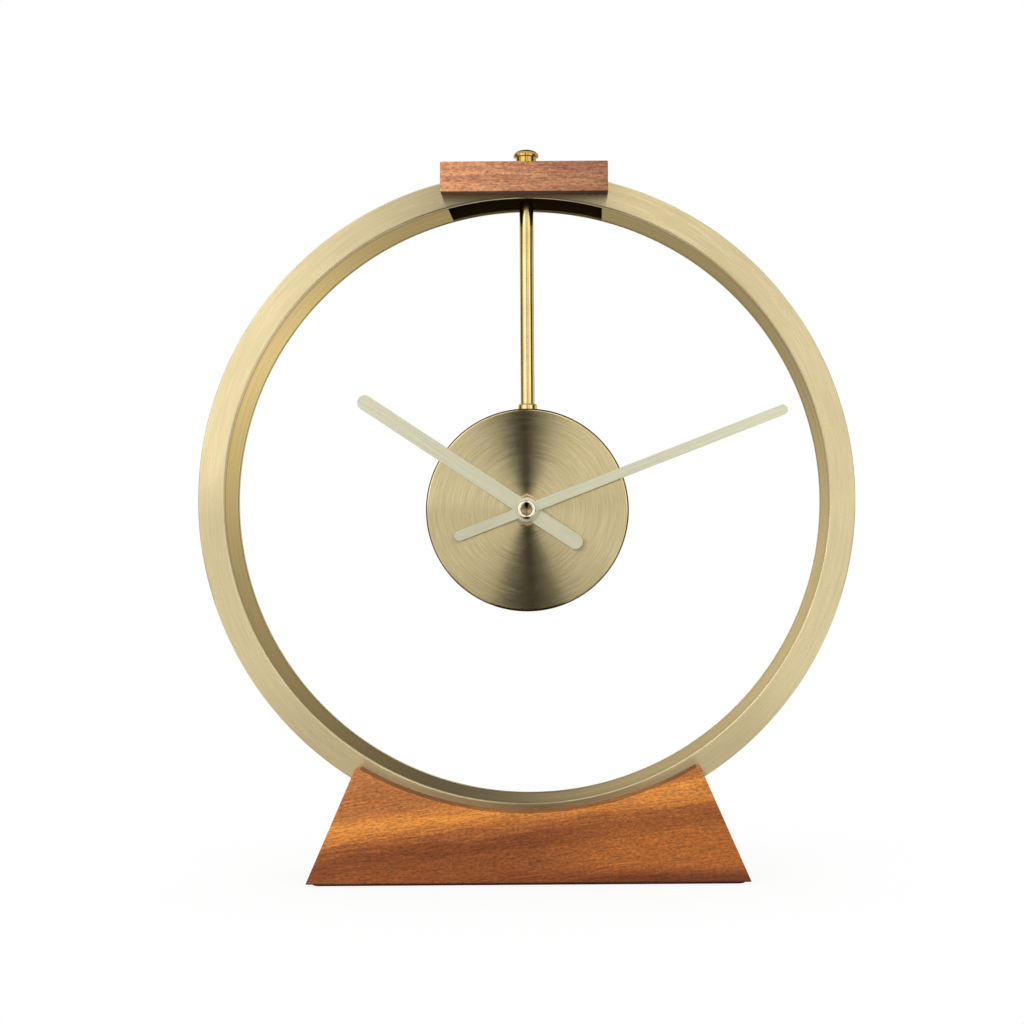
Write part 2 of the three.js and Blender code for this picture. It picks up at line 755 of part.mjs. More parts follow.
function caseFront() {
  const innerHalf = caseHalf - caseWall;
  const wallTop = caseTop - caseWall;
  const postStart = caseFrontY + caseWall / 2;
  const postEnd = cavityFrontY + plateLayer - seatGap;
  const box = boxBetween([-caseHalf, caseFrontY, caseBottom], [caseHalf, caseBackY, caseTop]);
  const chamber = boxBetween([-innerHalf, cavityFrontY, dividerTop], [innerHalf, 2 * caseBackY, wallTop]);
  const bay = boxBetween([-bayHalf, cavityFrontY, bayBottom], [bayHalf, 2 * caseBackY, bayTop]);
  const coverSeat = boxBetween(
    [-2 * caseHalf, cavityBackY, dividerTop - dividerWall / 2],
    [2 * caseHalf, 2 * caseBackY, 2 * caseTop],
  );
  const posts = casePostPlaces().map((place) => rodAt(place, platePostRadius, postStart, postEnd));
  const neck = rodAlongY(bushingRadius, bushingFrontY, caseFrontY + caseWall / 2);
  const bore = rodAlongY(hourTubeRadius + runningGap, 2 * bushingFrontY, cavityFrontY + layerGap / 2);
  const holeEnd = cavityFrontY - blindHoleDepth;
  const pivotHoles = [
    rodAt(minuteWheelAxis, pivotRadius + runningGap, holeEnd, 0),
    rodAt(settingAxis, centrePivotRadius + runningGap, holeEnd, 0),
  ];
  const hollow = cut(box, chamber, bay, coverSeat);
  const shell = cut(joined(hollow, neck, ...posts), bore, ...pivotHoles);
  return piece('movement_case', shell, 'blackPlastic');
}

// The arbors whose rear ends turn in bosses on the inside of the cover
function rearBearings() {
  const bearing = (axis, pivot, wheelBack) => (
    { axis, radius: pivot + runningGap, mouth: cavityFrontY + wheelBack + layerGap }
  );
  return [
    bearing(centreAxis, centrePivotRadius, centreLayer + wheelThickness),
    bearing(intermediateAxis, pivotRadius, intermediateLayer + wheelThickness),
    bearing(rotorAxis, pivotRadius, magnetLayer + magnetLength),
  ];
}

function caseCover() {
  const low = dividerTop - dividerWall / 2 + seatGap;
  const plate = boxBetween([-caseHalf, cavityBackY + seatGap, low], [caseHalf, caseBackY, caseTop]);
  const bossEnd = cavityBackY + caseWall / 2;
  const bosses = rearBearings().map(({ axis, radius, mouth }) => (
    rodAt(axis, radius + bossWall, mouth, bossEnd)
  ));
  const holes = rearBearings().map(({ axis, radius, mouth }) => (
    rodAt(axis, radius, mouth - layerGap, mouth + blindHoleDepth)
  ));
  const shaftHole = rodAt(settingAxis, settingShaftRadius + runningGap, 0, 2 * caseBackY);
  return piece('movement_cover', cut(joined(plate, ...bosses), shaftHole, ...holes), 'blackPlastic');
}

function gasket() {
  const frontY = drumFrontY + drumFace + seatGap;
  const profile = tubeProfile(bushingRadius + slideGap, gasketRadius, frontY, frontY + gasketThickness);
  return piece('rubber_gasket', turned(profile, roundSides), 'rubber');
}

function shaftWasher() {
  const backY = shaftWasherFrontY + shaftWasherThickness;
  const profile = tubeProfile(bushingRadius + threadGap, shaftWasherRadius, shaftWasherFrontY, backY);
  return piece('shaft_washer', turned(profile, roundSides), 'polishedBrass');
}

function shaftNut() {
  const outline = hexagon(shaftNutFlats, bushingRadius + threadGap);
  const nut = slab(outline, shaftNutFrontY, shaftNutFrontY + shaftNutHeight);
  return piece('shaft_nut', nut, 'polishedBrass');
}

// Train plate: it carries the arbors' ends, the stator and the circuit board
function trainPostPlaces() {
  const { left, right, bottom, top } = boardOutline();
  const inset = platePostRadius + slideGap;
  const coilSide = coilHalf + slideGap + platePostRadius;
  return [
    new THREE.Vector2(left + inset, bottom + inset),
    new THREE.Vector2(right - inset, bottom + inset),
    new THREE.Vector2(right - inset, top - inset),
    new THREE.Vector2(-coilSide, coilAxisZ),
    new THREE.Vector2(coilSide, coilAxisZ),
  ];
}

function trainPlate() {
  const halfX = caseHalf - caseWall - slideGap;
  const frontY = cavityFrontY + plateLayer;
  const backY = frontY + plateThickness;
  const plate = boxBetween(
    [-halfX, frontY, dividerTop + slideGap],
    [halfX, backY, caseTop - caseWall - slideGap],
  );
  const postStart = frontY + plateThickness / 2;
  const postEnd = cavityFrontY + statorLayer - seatGap;
  const posts = trainPostPlaces().map((place) => rodAt(place, platePostRadius, postStart, postEnd));
  const holes = [
    [centreAxis, centreArborRadius],
    [intermediateAxis, pivotRadius],
    [rotorAxis, pivotRadius],
    [minuteWheelAxis, pivotRadius],
    [settingAxis, settingShaftRadius],
  ].map(([axis, radius]) => rodAt(axis, radius + runningGap, frontY - layerGap, backY + layerGap));
  return piece('train_plate', cut(joined(plate, ...posts), ...holes), 'whitePlastic');
}

// Wheels: each is drawn around its own axis
const centrePhase = 0;
const minutePinionPhase = 0;
const intermediateWheelPhase = 0;
const hourPinionPhase = 0;
const intermediatePinionPhase = meshedPhase(
  intermediateDirection, centreTeeth, centrePhase, fastPinionLeaves,
);
const rotorPhase = meshedPhase(
  rotorDirection, intermediateTeeth, intermediateWheelPhase, fastPinionLeaves,
);
const minuteWheelPhase = meshedPhase(
  minuteWheelDirection, minutePinionLeaves, minutePinionPhase, minuteWheelTeeth,
);
const hourPhase = meshedPhase(minuteWheelDirection + 180, hourPinionLeaves, hourPinionPhase, hourTeeth);
const settingPhase = meshedPhase(
  settingDirection, minuteWheelTeeth, minuteWheelPhase, settingPinionLeaves,
);

// The minute arbor goes through the train plate and takes the centre wheel on its rear end.
function minuteArbor() {
  const shoulder = minuteHandBackY + seatGap;
  const tip = capBackY - capHeight / 2;
  const waist = cavityFrontY + minuteLayer - layerGap / 2;
  const wheelBack = cavityFrontY + centreLayer + wheelThickness;
  const pivotEnd = wheelBack + layerGap + blindHoleDepth - seatGap;
  const arbor = turned([
    [0, tip],
    [minuteArborTipRadius, tip],
    [minuteArborTipRadius, shoulder],
    [minuteArborRadius, shoulder],
    [minuteArborRadius, waist],
    [centreArborRadius, waist],
    [centreArborRadius, wheelBack],
    [centrePivotRadius, wheelBack],
    [centrePivotRadius, pivotEnd],
    [0, pivotEnd],
  ], roundSides);
  const pinion = wheelAt(minuteLayer, minutePinionLeaves, minuteModule, pinionLeaf, minutePinionPhase);
  return piece('minute_arbor', joined(arbor, pinion), 'whitePlastic');
}

function centreWheel() {
  const wheel = wheelAt(centreLayer, centreTeeth, centreModule, wheelTooth, centrePhase);
  const frontY = cavityFrontY + centreLayer;
  const boreEnd = frontY + wheelThickness + layerGap;
  const bore = rodAlongY(centreArborRadius + runningGap, frontY - layerGap, boreEnd);
  return piece('centre_wheel', cut(wheel, bore), 'whitePlastic');
}

function hourWheel() {
  const gear = wheelAt(hourLayer, hourTeeth, hourModule, wheelTooth, hourPhase);
  const gearBack = cavityFrontY + hourLayer + wheelThickness;
  const tube = rodAlongY(hourTubeRadius, hourTubeFrontY, gearBack - wheelThickness / 2);
  const bore = rodAlongY(minuteArborRadius + runningGap, 2 * hourTubeFrontY, gearBack + layerGap);
  return piece('hour_wheel', cut(joined(gear, tube), bore), 'whitePlastic');
}

// An arbor between two layers with a thinner pivot at each end
function pivotedArbor(radius, frontY, backY) {
  return turned([
    [0, frontY - blindHoleDepth],
    [pivotRadius, frontY - blindHoleDepth],
    [pivotRadius, frontY],
    [radius, frontY],
    [radius, backY],
    [pivotRadius, backY],
    [pivotRadius, backY + blindHoleDepth],
    [0, backY + blindHoleDepth],
  ], smallSides);
}

function minuteWheel() {
  const frontY = cavityFrontY + seatGap;
  const backY = cavityFrontY + plateLayer - seatGap;
  const arbor = pivotedArbor(minuteWheelArborRadius, frontY, backY);
  const wheel = wheelAt(minuteLayer, minuteWheelTeeth, minuteModule, wheelTooth, minuteWheelPhase);
  const pinion = wheelAt(hourLayer, hourPinionLeaves, hourModule, pinionLeaf, hourPinionPhase);
  return piece('minute_wheel', joined(arbor, wheel, pinion), 'whitePlastic');
}

function intermediateWheel() {
  const frontY = cavityFrontY + plateLayer + plateThickness + seatGap;
  const backY = cavityFrontY + intermediateLayer + wheelThickness + layerGap - seatGap;
  const arbor = pivotedArbor(fastArborRadius, frontY, backY);
  const wheel = wheelAt(
    intermediateLayer, intermediateTeeth, rotorModule, wheelTooth, intermediateWheelPhase,
  );
  const pinion = wheelAt(
    centreLayer, fastPinionLeaves, centreModule, pinionLeaf, intermediatePinionPhase,
  );
  return piece('intermediate_wheel', joined(arbor, wheel, pinion), 'whitePlastic');
}

function rotor() {
  const frontY = cavityFrontY + plateLayer + plateThickness + seatGap;
  const magnetY = cavityFrontY + magnetLayer;
  const backY = magnetY + magnetLength + layerGap - seatGap;
  const arbor = pivotedArbor(fastArborRadius, frontY, backY);
  const magnet = rodAlongY(magnetRadius, magnetY, magnetY + magnetLength);
  const pinion = wheelAt(intermediateLayer, fastPinionLeaves, rotorModule, pinionLeaf, rotorPhase);
  return piece('rotor', joined(arbor, magnet, pinion), 'magnet');
}

// Hand setting: a pinion on the minute wheel, whose shaft takes the knob behind the case
function settingPinion() {
  const pivotEnd = cavityFrontY - blindHoleDepth + seatGap;
  const pinionY = cavityFrontY + minuteLayer;
  const shaftEnd = caseBackY + slideGap + knobSocketDepth;
  const shaft = turned([
    [0, pivotEnd],
    [centrePivotRadius, pivotEnd],
    [centrePivotRadius, pinionY],
    [settingShaftRadius, pinionY],
    [settingShaftRadius, shaftEnd],
    [0, shaftEnd],
  ], roundSides);
  const pinion = wheelAt(minuteLayer, settingPinionLeaves, minuteModule, pinionLeaf, settingPhase);
  return piece('setting_pinion', joined(shaft, pinion), 'whitePlastic');
}

function settingKnob() {
  const frontY = caseBackY + slideGap;
  const backY = drumDepth / 2 + knobProud;
  const head = rodAlongY(knobRadius, frontY, backY);
  const socketEnd = frontY + knobSocketDepth + seatGap;
  const socket = rodAlongY(settingShaftRadius + runningGap, frontY - seatGap, socketEnd);
  const flutes = Array.from({ length: knobFlutes }, (_, i) => {
    const place = direction(360 * i / knobFlutes).multiplyScalar(knobRadius);
    return rodAt(place, knobFluteRadius, frontY - seatGap, backY + seatGap, knobFluteSides);
  });
  return piece('setting_knob', cut(head, socket, ...flutes), 'whitePlastic');
}

// Motor: the coil on its core drives flux through the stator, which turns the rotor's magnet
function stator() {
  const outer = coreHalf;
  const inner = coilHalf + slideGap;
  const top = coilAxisZ + statorArmWidth / 2;
  const innerEdge = coilAxisZ - coilRadius - slideGap;
  const lowerEdge = rotorAxis.y - statorHoleRadius - statorBridgeBelow;
  const footHalf = statorHoleRadius + statorSideMargin;
  const shoulder = coilAxisZ - coilRadius;
  const plate = new THREE.Shape([
    new THREE.Vector2(-outer, top),
    new THREE.Vector2(-outer, shoulder),
    new THREE.Vector2(rotorAxis.x - footHalf, lowerEdge),
    new THREE.Vector2(rotorAxis.x + footHalf, lowerEdge),
    new THREE.Vector2(outer, shoulder),
    new THREE.Vector2(outer, top),
    new THREE.Vector2(inner, top),
    new THREE.Vector2(inner, innerEdge),
    new THREE.Vector2(-inner, innerEdge),
    new THREE.Vector2(-inner, top),
  ]);
  const frontY = cavityFrontY + statorLayer;
  const backY = frontY + statorThickness;
  const hole = rodAt(rotorAxis, statorHoleRadius, frontY - layerGap, backY + layerGap, roundSides);
  return piece('stator', cut(slab(plate, frontY, backY), hole), 'steel');
}

function alongX(geometry) {
  return geometry.rotateZ(-Math.PI / 2).translate(0, cavityFrontY + coilAxisLayer, coilAxisZ);
}

function coilCore() {
  const frontY = cavityFrontY + coreLayer;
  const core = boxBetween(
    [-coreHalf, frontY, coilAxisZ - coreWidth / 2],
    [coreHalf, frontY + coreThickness, coilAxisZ + coreWidth / 2],
  );
  return piece('coil_core', core, 'steel');
}

function coilBobbin() {
  const neck = coilHalf - coilFlange;
  const spool = alongX(turned([
    [0, -coilHalf],
    [coilRadius, -coilHalf],
    [coilRadius, -neck],
    [bobbinTubeRadius, -neck],
    [bobbinTubeRadius, neck],
    [coilRadius, neck],
    [coilRadius, coilHalf],
    [0, coilHalf],
  ], roundSides));
  const frontY = cavityFrontY + coreLayer - seatGap;
  const slot = boxBetween(
    [-2 * coilHalf, frontY, coilAxisZ - coreWidth / 2 - seatGap],
    [2 * coilHalf, frontY + coreThickness + 2 * seatGap, coilAxisZ + coreWidth / 2 + seatGap],
  );
  return piece('coil_bobbin', cut(spool, slot), 'greyPlastic');
}

function coilWinding() {
  const half = coilHalf - coilFlange - seatGap;
  const profile = tubeProfile(bobbinTubeRadius + seatGap, coilRadius - seatGap, -half, half);
  return piece('coil_winding', alongX(turned(profile, roundSides)), 'copper');
}

// Circuit board beside the motor, with the chip and the crystal
function boardOutline() {
  const right = caseHalf - caseWall - boardRoom;
  return {
    left: settingAxis.x + settingShaftRadius + 2 * boardRoom,
    right,
    bottom: dividerTop + boardRoom,
    top: rotorAxis.y,
  };
}

function circuitBoard() {
  const { left, right, bottom, top } = boardOutline();
  const frontY = cavityFrontY + statorLayer;
  const board = boxBetween([left, frontY, bottom], [right, frontY + boardThickness, top]);
  return piece('circuit_board', board, 'board');
}

// Moves a component that's drawn from the board's surface back to its place on the board.
function onBoard(geometry) {
  const { left, right } = boardOutline();
  return geometry.translate((left + right) / 2, cavityFrontY + statorLayer + boardThickness + seatGap, 0);
}

function controlChip() {
  const chip = turned([
    [0, 0],
    [chipRadius, 0],
    [chipTopRadius, chipEdgeHeight],
    [0, chipHeight],
  ], roundSides);
  return piece('control_chip', onBoard(chip), 'rubber');
}

function quartzCrystal() {
  const bottom = chipRadius + boardRoom;
  const can = rodAlongZ(crystalRadius, bottom, bottom + crystalLength, smallSides);
  return piece('quartz_crystal', onBoard(can.translate(0, crystalRadius, 0)), 'nickel');
}

// Battery and its spring contacts
function battery() {
  const half = batteryLength / 2;
  const cell = turned([
    [0, -half],
    [batteryRadius, -half],
    [batteryRadius, half - batteryNubHeight],
    [batteryNubRadius, half - batteryNubHeight],
    [batteryNubRadius, half],
    [0, half],
  ], roundSides).rotateZ(-Math.PI / 2).translate(0, batteryY, batteryZ);
  return piece('battery', cell, 'battery');
}

function contact(name, side) {
  const outer = bayHalf - seatGap;
  const inner = outer - contactThickness;
  const half = contactWidth / 2;
  const leaf = boxBetween(
    [inner, batteryY - half, batteryZ - half],
    [outer, batteryY + half, batteryZ + half],
  );
  const dimpleStart = batteryLength / 2 + seatGap;
  const dimple = rodAlongY(contactDimpleRadius, dimpleStart, inner + contactThickness / 2, smallSides);
  const plate = joined(leaf, dimple.rotateZ(-Math.PI / 2).translate(0, batteryY, batteryZ));
  if (side < 0) plate.rotateZ(Math.PI).translate(0, 2 * batteryY, 0);
  return piece(name, plate, 'nickel');
}

// Hands: flat bars with round ends around the shaft, drawn pointing up and turned to the time
function handBar(length, tail, width, holeRadius, frontY) {
  const end = width / 2;
  const bar = new THREE.Shape();
  bar.absarc(0, length - end, end, 0, Math.PI, false);
  bar.absarc(0, end - tail, end, Math.PI, 2 * Math.PI, false);
  const backY = frontY + handThickness;
  const body = joined(slab(bar, frontY, backY), rodAlongY(handHubRadius, frontY, backY, 2 * roundSides));
  return cut(body, rodAlongY(holeRadius, frontY - handThickness, backY + handThickness));
}

function hourHand() {
  const hole = hourTubeRadius + threadGap;
  const bar = handBar(hourHandLength, hourHandTail, hourHandWidth, hole, hourHandFrontY);
  const hand = piece('hour_hand', bar, 'champagne');
  hand.rotation.y = THREE.MathUtils.degToRad(hourAngle);
  return hand;
}

function minuteHand() {
  const hole = minuteArborTipRadius + threadGap;
  const bar = handBar(minuteHandLength, minuteHandTail, minuteHandWidth, hole, minuteHandFrontY);
  const hand = piece('minute_hand', bar, 'champagne');
  hand.rotation.y = THREE.MathUtils.degToRad(minuteAngle);
  return hand;
}

// The cap has a dished front and a rounded edge
function handCap() {
  const frontY = capBackY - capHeight;
  const dish = capDishSteps.map((share) => (
    [capDishRadius * share, frontY + capDishDepth * (1 - share ** 2)]
  ));
  const edge = [...quarterArc].reverse().map((angle) => (
    [capRadius - capEdgeRound * (1 - Math.cos(angle)), frontY + capEdgeRound * (1 - Math.sin(angle))]
  ));
  const profile = [[0, frontY + capDishDepth], ...dish, ...edge, [capRadius, capBackY], [0, capBackY]];
  const body = turned(profile, roundSides);
  const hole = rodAlongY(minuteArborTipRadius + threadGap, capBackY - capHeight / 2 - seatGap, 0);
  return piece('hand_cap', cut(body, hole), 'nickel');
}

// Assembly
const hoop = onAxis(new THREE.Vector2(0, hoopCentreZ), hoopChannel(), hoopCover(), anchorPlate());

const foot = new THREE.Group().add(
  footBlock(),
  footPad(),
  ...footScrewPlaces().map((x, i) => footScrew(`foot_screw_${i + 1}`, x)),
);

const hanger = new THREE.Group().add(
  topBlock(),
  domeNut(),
  lockWasher(),
  nutAlongZ('lock_nut', lockNutTop(), 'steel'),
  hangerRod(),
  rodCollar(),
  nutAlongZ('drum_nut', drumNutTop(), 'steel'),
);

const movement = new THREE.Group().add(
  caseFront(),
  caseCover(),
  gasket(),
  trainPlate(),
  minuteArbor(),
  centreWheel(),
  hourWheel(),
  onAxis(minuteWheelAxis, minuteWheel()),
  onAxis(intermediateAxis, intermediateWheel()),
  onAxis(rotorAxis, rotor()),
  onAxis(settingAxis, settingPinion(), settingKnob()),
  stator(),
  coilCore(),
  coilBobbin(),
  coilWinding(),
  circuitBoard(),
  controlChip(),
  quartzCrystal(),
  battery(),
  contact('battery_contact_positive', 1),
  contact('battery_contact_negative', -1),
);

const drum = onAxis(
  new THREE.Vector2(0, drumZ),
  drumShell(),
  rearCover(),
  ...rearPostPlaces().map((place, i) => rearScrew(`rear_screw_${i + 1}`, place)),
  shaftWasher(),
  shaftNut(),
  movement,
  hourHand(),
  minuteHand(),
  handCap(),
);

const clock = new THREE.Group().add(foot, hoop, hanger, drum);

export default clock;
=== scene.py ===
import math

import bmesh
import bpy
from mathutils import Matrix, Vector


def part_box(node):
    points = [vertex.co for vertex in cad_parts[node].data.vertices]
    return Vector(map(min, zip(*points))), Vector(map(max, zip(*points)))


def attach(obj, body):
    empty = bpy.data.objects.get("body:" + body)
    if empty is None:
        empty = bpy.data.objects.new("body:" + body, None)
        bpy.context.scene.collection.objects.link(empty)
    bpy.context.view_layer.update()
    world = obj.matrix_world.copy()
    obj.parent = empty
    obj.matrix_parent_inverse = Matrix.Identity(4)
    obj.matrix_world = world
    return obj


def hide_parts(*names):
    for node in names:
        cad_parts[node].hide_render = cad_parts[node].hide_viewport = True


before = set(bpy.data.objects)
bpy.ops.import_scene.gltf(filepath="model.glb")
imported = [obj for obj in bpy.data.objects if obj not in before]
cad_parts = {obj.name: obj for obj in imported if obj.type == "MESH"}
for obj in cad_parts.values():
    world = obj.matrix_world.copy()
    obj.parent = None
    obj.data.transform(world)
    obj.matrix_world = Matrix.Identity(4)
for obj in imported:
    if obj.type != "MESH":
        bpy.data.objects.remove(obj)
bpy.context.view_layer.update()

# Sizes in millimetres, in the frame of the CAD
MM = 0.001
HOOP_Z = 174.1
DIAL_Z = 169.8
HOOP_RADIUS = 150
HOOP_INNER = 138
HOOP_HALF_DEPTH = 20
HOOP_WALL = 1.8
STRIP_INNER = 138.2
STRIP_OUTER = 139.4
STRIP_HALF_DEPTH = 17.5
STRIP_OPENING = 71
GROOVE_RADIUS = 150.3
GROOVE_HALF_DEPTH = 20.3
FOOT_UNDERSIDE = 1.1
FOOT_TOP = 53.1
FOOT_HALF_DEPTH = 30
DISH_Z = 184.5
DISH_RADIUS = 151.56
BLOCK_UNDERSIDE = 313.5
BLOCK_TOP = 327.4
DRUM_RADIUS = 46.74
DRUM_HALF_DEPTH = 13.25
DRUM_INNER = 45.24
COVER_RADIUS = 44.94
COVER_FRONT = 12.05
NECK_HOLE = 4.05
HUB_RADIUS = 5.6
HAND_THICKNESS = 0.8
MINUTE_ANGLE = 69
HOUR_ANGLE = 303.8
SHAFT_NUT_FLATS = 13
LOCK_NUT_FLATS = 10
KNOB_X = 10.8
KNOB_Z = 176.04
CELL_CENTRE = (0, -1.65, 150.54)

# The camera: lens and aim in pixels of the frame, place in metres, roll in degrees
FRAME_PIXELS = 1024
FOCAL_PIXELS = 1928
CENTRE_ACROSS = 596.5
CENTRE_DOWN = 541.1
CAMERA_PLACE = (0.0317, -0.8994, 0.1553)
CAMERA_ROLL = 0.376

# How bright the backdrop is, by the angle clockwise from the top
BACKDROP_TONES = (
    (180, 0.5), (210, 0.48), (240, 0.46), (255, 0.5), (270, 0.75), (285, 0.95), (300, 0.95),
    (315, 0.82), (330, 0.7), (345, 0.3), (359, 0.0), (15, 0.12), (30, 0.4), (45, 0.47),
    (60, 0.62), (75, 0.72), (90, 1.05), (105, 1.3), (120, 1.45), (135, 1.25), (150, 0.85),
    (165, 0.6), (179, 0.5),
)

ALONG_Z = Matrix.Identity(4)
ALONG_Y = Matrix.Rotation(math.radians(-90), 4, "X")
ALONG_X = Matrix.Rotation(math.radians(90), 4, "Y")


# Shapes

def at(x, y, z, turn=ALONG_Z):
    """A place in the frame, after a turn."""
    return Matrix.Translation((x, y, z)) @ turn


def outline(points, rounding=()):
    """A flat outline in the plane of radius and height, with some of its corners rounded."""
    bm = bmesh.new()
    verts = [bm.verts.new((radius, 0, height)) for radius, height in points]
    bm.faces.new(verts)
    for index, size in rounding:
        corner = verts[index]
        bmesh.ops.bevel(
            bm, geom=[corner], offset=size, affect="VERTICES", segments=4, profile=0.5, material=-1
        )
    return bm


def turned(points, rounding=(), steps=96, place=ALONG_Z, arc=360):
    """A piece turned on a lathe: the outline swept round its own axis, then laid in place."""
    bm = outline(points, rounding)
    whole = arc == 360
    if whole:
        bmesh.ops.delete(bm, geom=bm.faces[:], context="FACES_ONLY")
        on_axis = [e for e in bm.edges if all(abs(v.co.x) < 1e-6 for v in e.verts)]
        bmesh.ops.delete(bm, geom=on_axis, context="EDGES")
    bmesh.ops.spin(
        bm, geom=bm.verts[:] + bm.edges[:] + bm.faces[:], axis=(0, 0, 1), cent=(0, 0, 0),
        steps=steps, angle=math.radians(arc), use_merge=whole,
    )
    bmesh.ops.remove_doubles(bm, verts=bm.verts, dist=1e-4)
    bmesh.ops.recalc_face_normals(bm, faces=bm.faces)
    bm.transform(place)
    return bm


def push_out(bm, offset):
    """Makes a solid of a flat shape by pushing it out."""
    pushed = bmesh.ops.extrude_face_region(bm, geom=bm.faces[:])
    moved = [v for v in pushed["geom"] if isinstance(v, bmesh.types.BMVert)]
    bmesh.ops.translate(bm, verts=moved, vec=offset)
    bmesh.ops.recalc_face_normals(bm, faces=bm.faces)


def prism(points, depth, place=ALONG_Z, rounding=()):
    """A flat outline in X and Z, pushed out along Y."""
    bm = outline(points, rounding)
    push_out(bm, (0, depth, 0))
    bm.transform(place)
    return bm


def ring(hole, radius, low, high, rounding, steps=96, place=ALONG_Z):
    """A turned ring from low to high."""
    points = [(hole, low), (radius, low), (radius, high), (hole, high)]
    return turned(points, rounding, steps, place)


def block(low, high):
    """A square block between two corners."""
    bm = bmesh.new()
    bmesh.ops.create_cube(bm, size=1)
    size = [b - a for a, b in zip(low, high)]
    middle = [(a + b) / 2 for a, b in zip(low, high)]
    bm.transform(Matrix.Translation(middle) @ Matrix.Diagonal((*size, 1)))
    return bm


def disc(radius, low, high, steps=96, place=ALONG_Z, fluting=None):
    """A plain round from low to high, or one whose edge is fluted: (count, depth)."""
    bm = bmesh.new()
    bmesh.ops.create_circle(bm, cap_ends=True, radius=radius, segments=steps)
    if fluting:
        count, depth = fluting
        for v in bm.verts:
            angle = math.atan2(v.co.y, v.co.x)
            v.co *= 1 - depth / radius * abs(math.sin(angle * count / 2)) ** 6
    push_out(bm, (0, 0, high - low))
    bmesh.ops.translate(bm, verts=bm.verts, vec=(0, 0, low))
    bm.transform(place)
    return bm


def hexagon(flats, low, high, place=ALONG_Z):
    """A hexagon bar, by its width across the flats."""
    return disc(flats / math.sqrt(3), low, high, 6, place)


def as_object(name, bm):
    """An object of a shape in millimetres, with its place in its mesh, in metres."""
    bm.transform(Matrix.Scale(MM, 4))
    mesh = bpy.data.meshes.new(name)
    bm.to_mesh(mesh)
    bm.free()
    piece = bpy.data.objects.new(name, mesh)
    bpy.context.scene.collection.objects.link(piece)
    return piece


def work(piece, tools, edge, segments=2):
    """Cuts away or joins the other shapes, then breaks the sharp edges, and keeps the result."""
    helpers = []
    for number, (operation, shape) in enumerate(tools):
        helper = as_object(f"{piece.name}_tool_{number}", shape)
        helpers.append(helper)
        cut = piece.modifiers.new("cut", "BOOLEAN")
        cut.operation = operation
        cut.solver = "EXACT"
        cut.object = helper
    if edge:
        ease = piece.modifiers.new("eased edges", "BEVEL")
        ease.width = edge * MM
        ease.segments = segments
        ease.limit_method = "ANGLE"
        ease.angle_limit = math.radians(40)
        ease.use_clamp_overlap = False
        ease.harden_normals = False
    bpy.context.view_layer.update()
    view = piece.evaluated_get(bpy.context.evaluated_depsgraph_get())
    result = bpy.data.meshes.new_from_object(view)
    piece.modifiers.clear()
    piece.data = result
    result.name = piece.name
    for helper in helpers:
        bpy.data.objects.remove(helper)


def wrap_map(piece, centre_z, reach):
    """A UV map with U round an axis along Y and V across the surface, for round brushing."""
    mesh = piece.data
    layer = mesh.uv_layers.new(name="brushing")
    for polygon in mesh.polygons:
        middle = math.atan2(polygon.center.x, polygon.center.z - centre_z * MM)
        for index in polygon.loop_indices:
            co = mesh.vertices[mesh.loops[index].vertex_index].co
            across, up = co.x, co.z - centre_z * MM
            radius = math.hypot(across, up)
            angle = math.atan2(across, up) if radius > 1e-6 else middle
            angle += math.tau * round((middle - angle) / math.tau)
            layer.data[index].uv = (angle * reach * MM, radius + co.y)


def length_map(piece, direction):
    """A UV map with U along a flat piece and V across it, for straight brushing."""
    mesh = piece.data
    layer = mesh.uv_layers.new(name="brushing")
    across = Vector((0, 1, 0)).cross(direction)
    for loop in mesh.loops:
        co = mesh.vertices[loop.vertex_index].co
        layer.data[loop.index].uv = (co.dot(direction), co.dot(across) + co.y)


def finish(piece, body, finish_name, nodes, smooth=35):
    """The finish, shading, body and CAD nodes of a piece."""
    piece.data.materials.clear()
    piece.data.materials.append(FINISHES[finish_name])
    piece.data.shade_smooth()
    piece.data.set_sharp_from_angle(angle=math.radians(smooth))
    flatten = piece.modifiers.new("flat faces stay flat", "WEIGHTED_NORMAL")
    flatten.weight = 50
    flatten.keep_sharp = True
    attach(piece, body)
    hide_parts(*nodes)


# Nodes of a material

def colour(red, green, blue):
    """A colour as it is seen, from 0 to 255, turned into a linear one."""
    parts = []
    for value in (red, green, blue):
        share = value / 255
        low = share / 12.92
        high = ((share + 0.055) / 1.055) ** 2.4
        parts.append(low if share <= 0.04045 else high)
    return (*parts, 1)


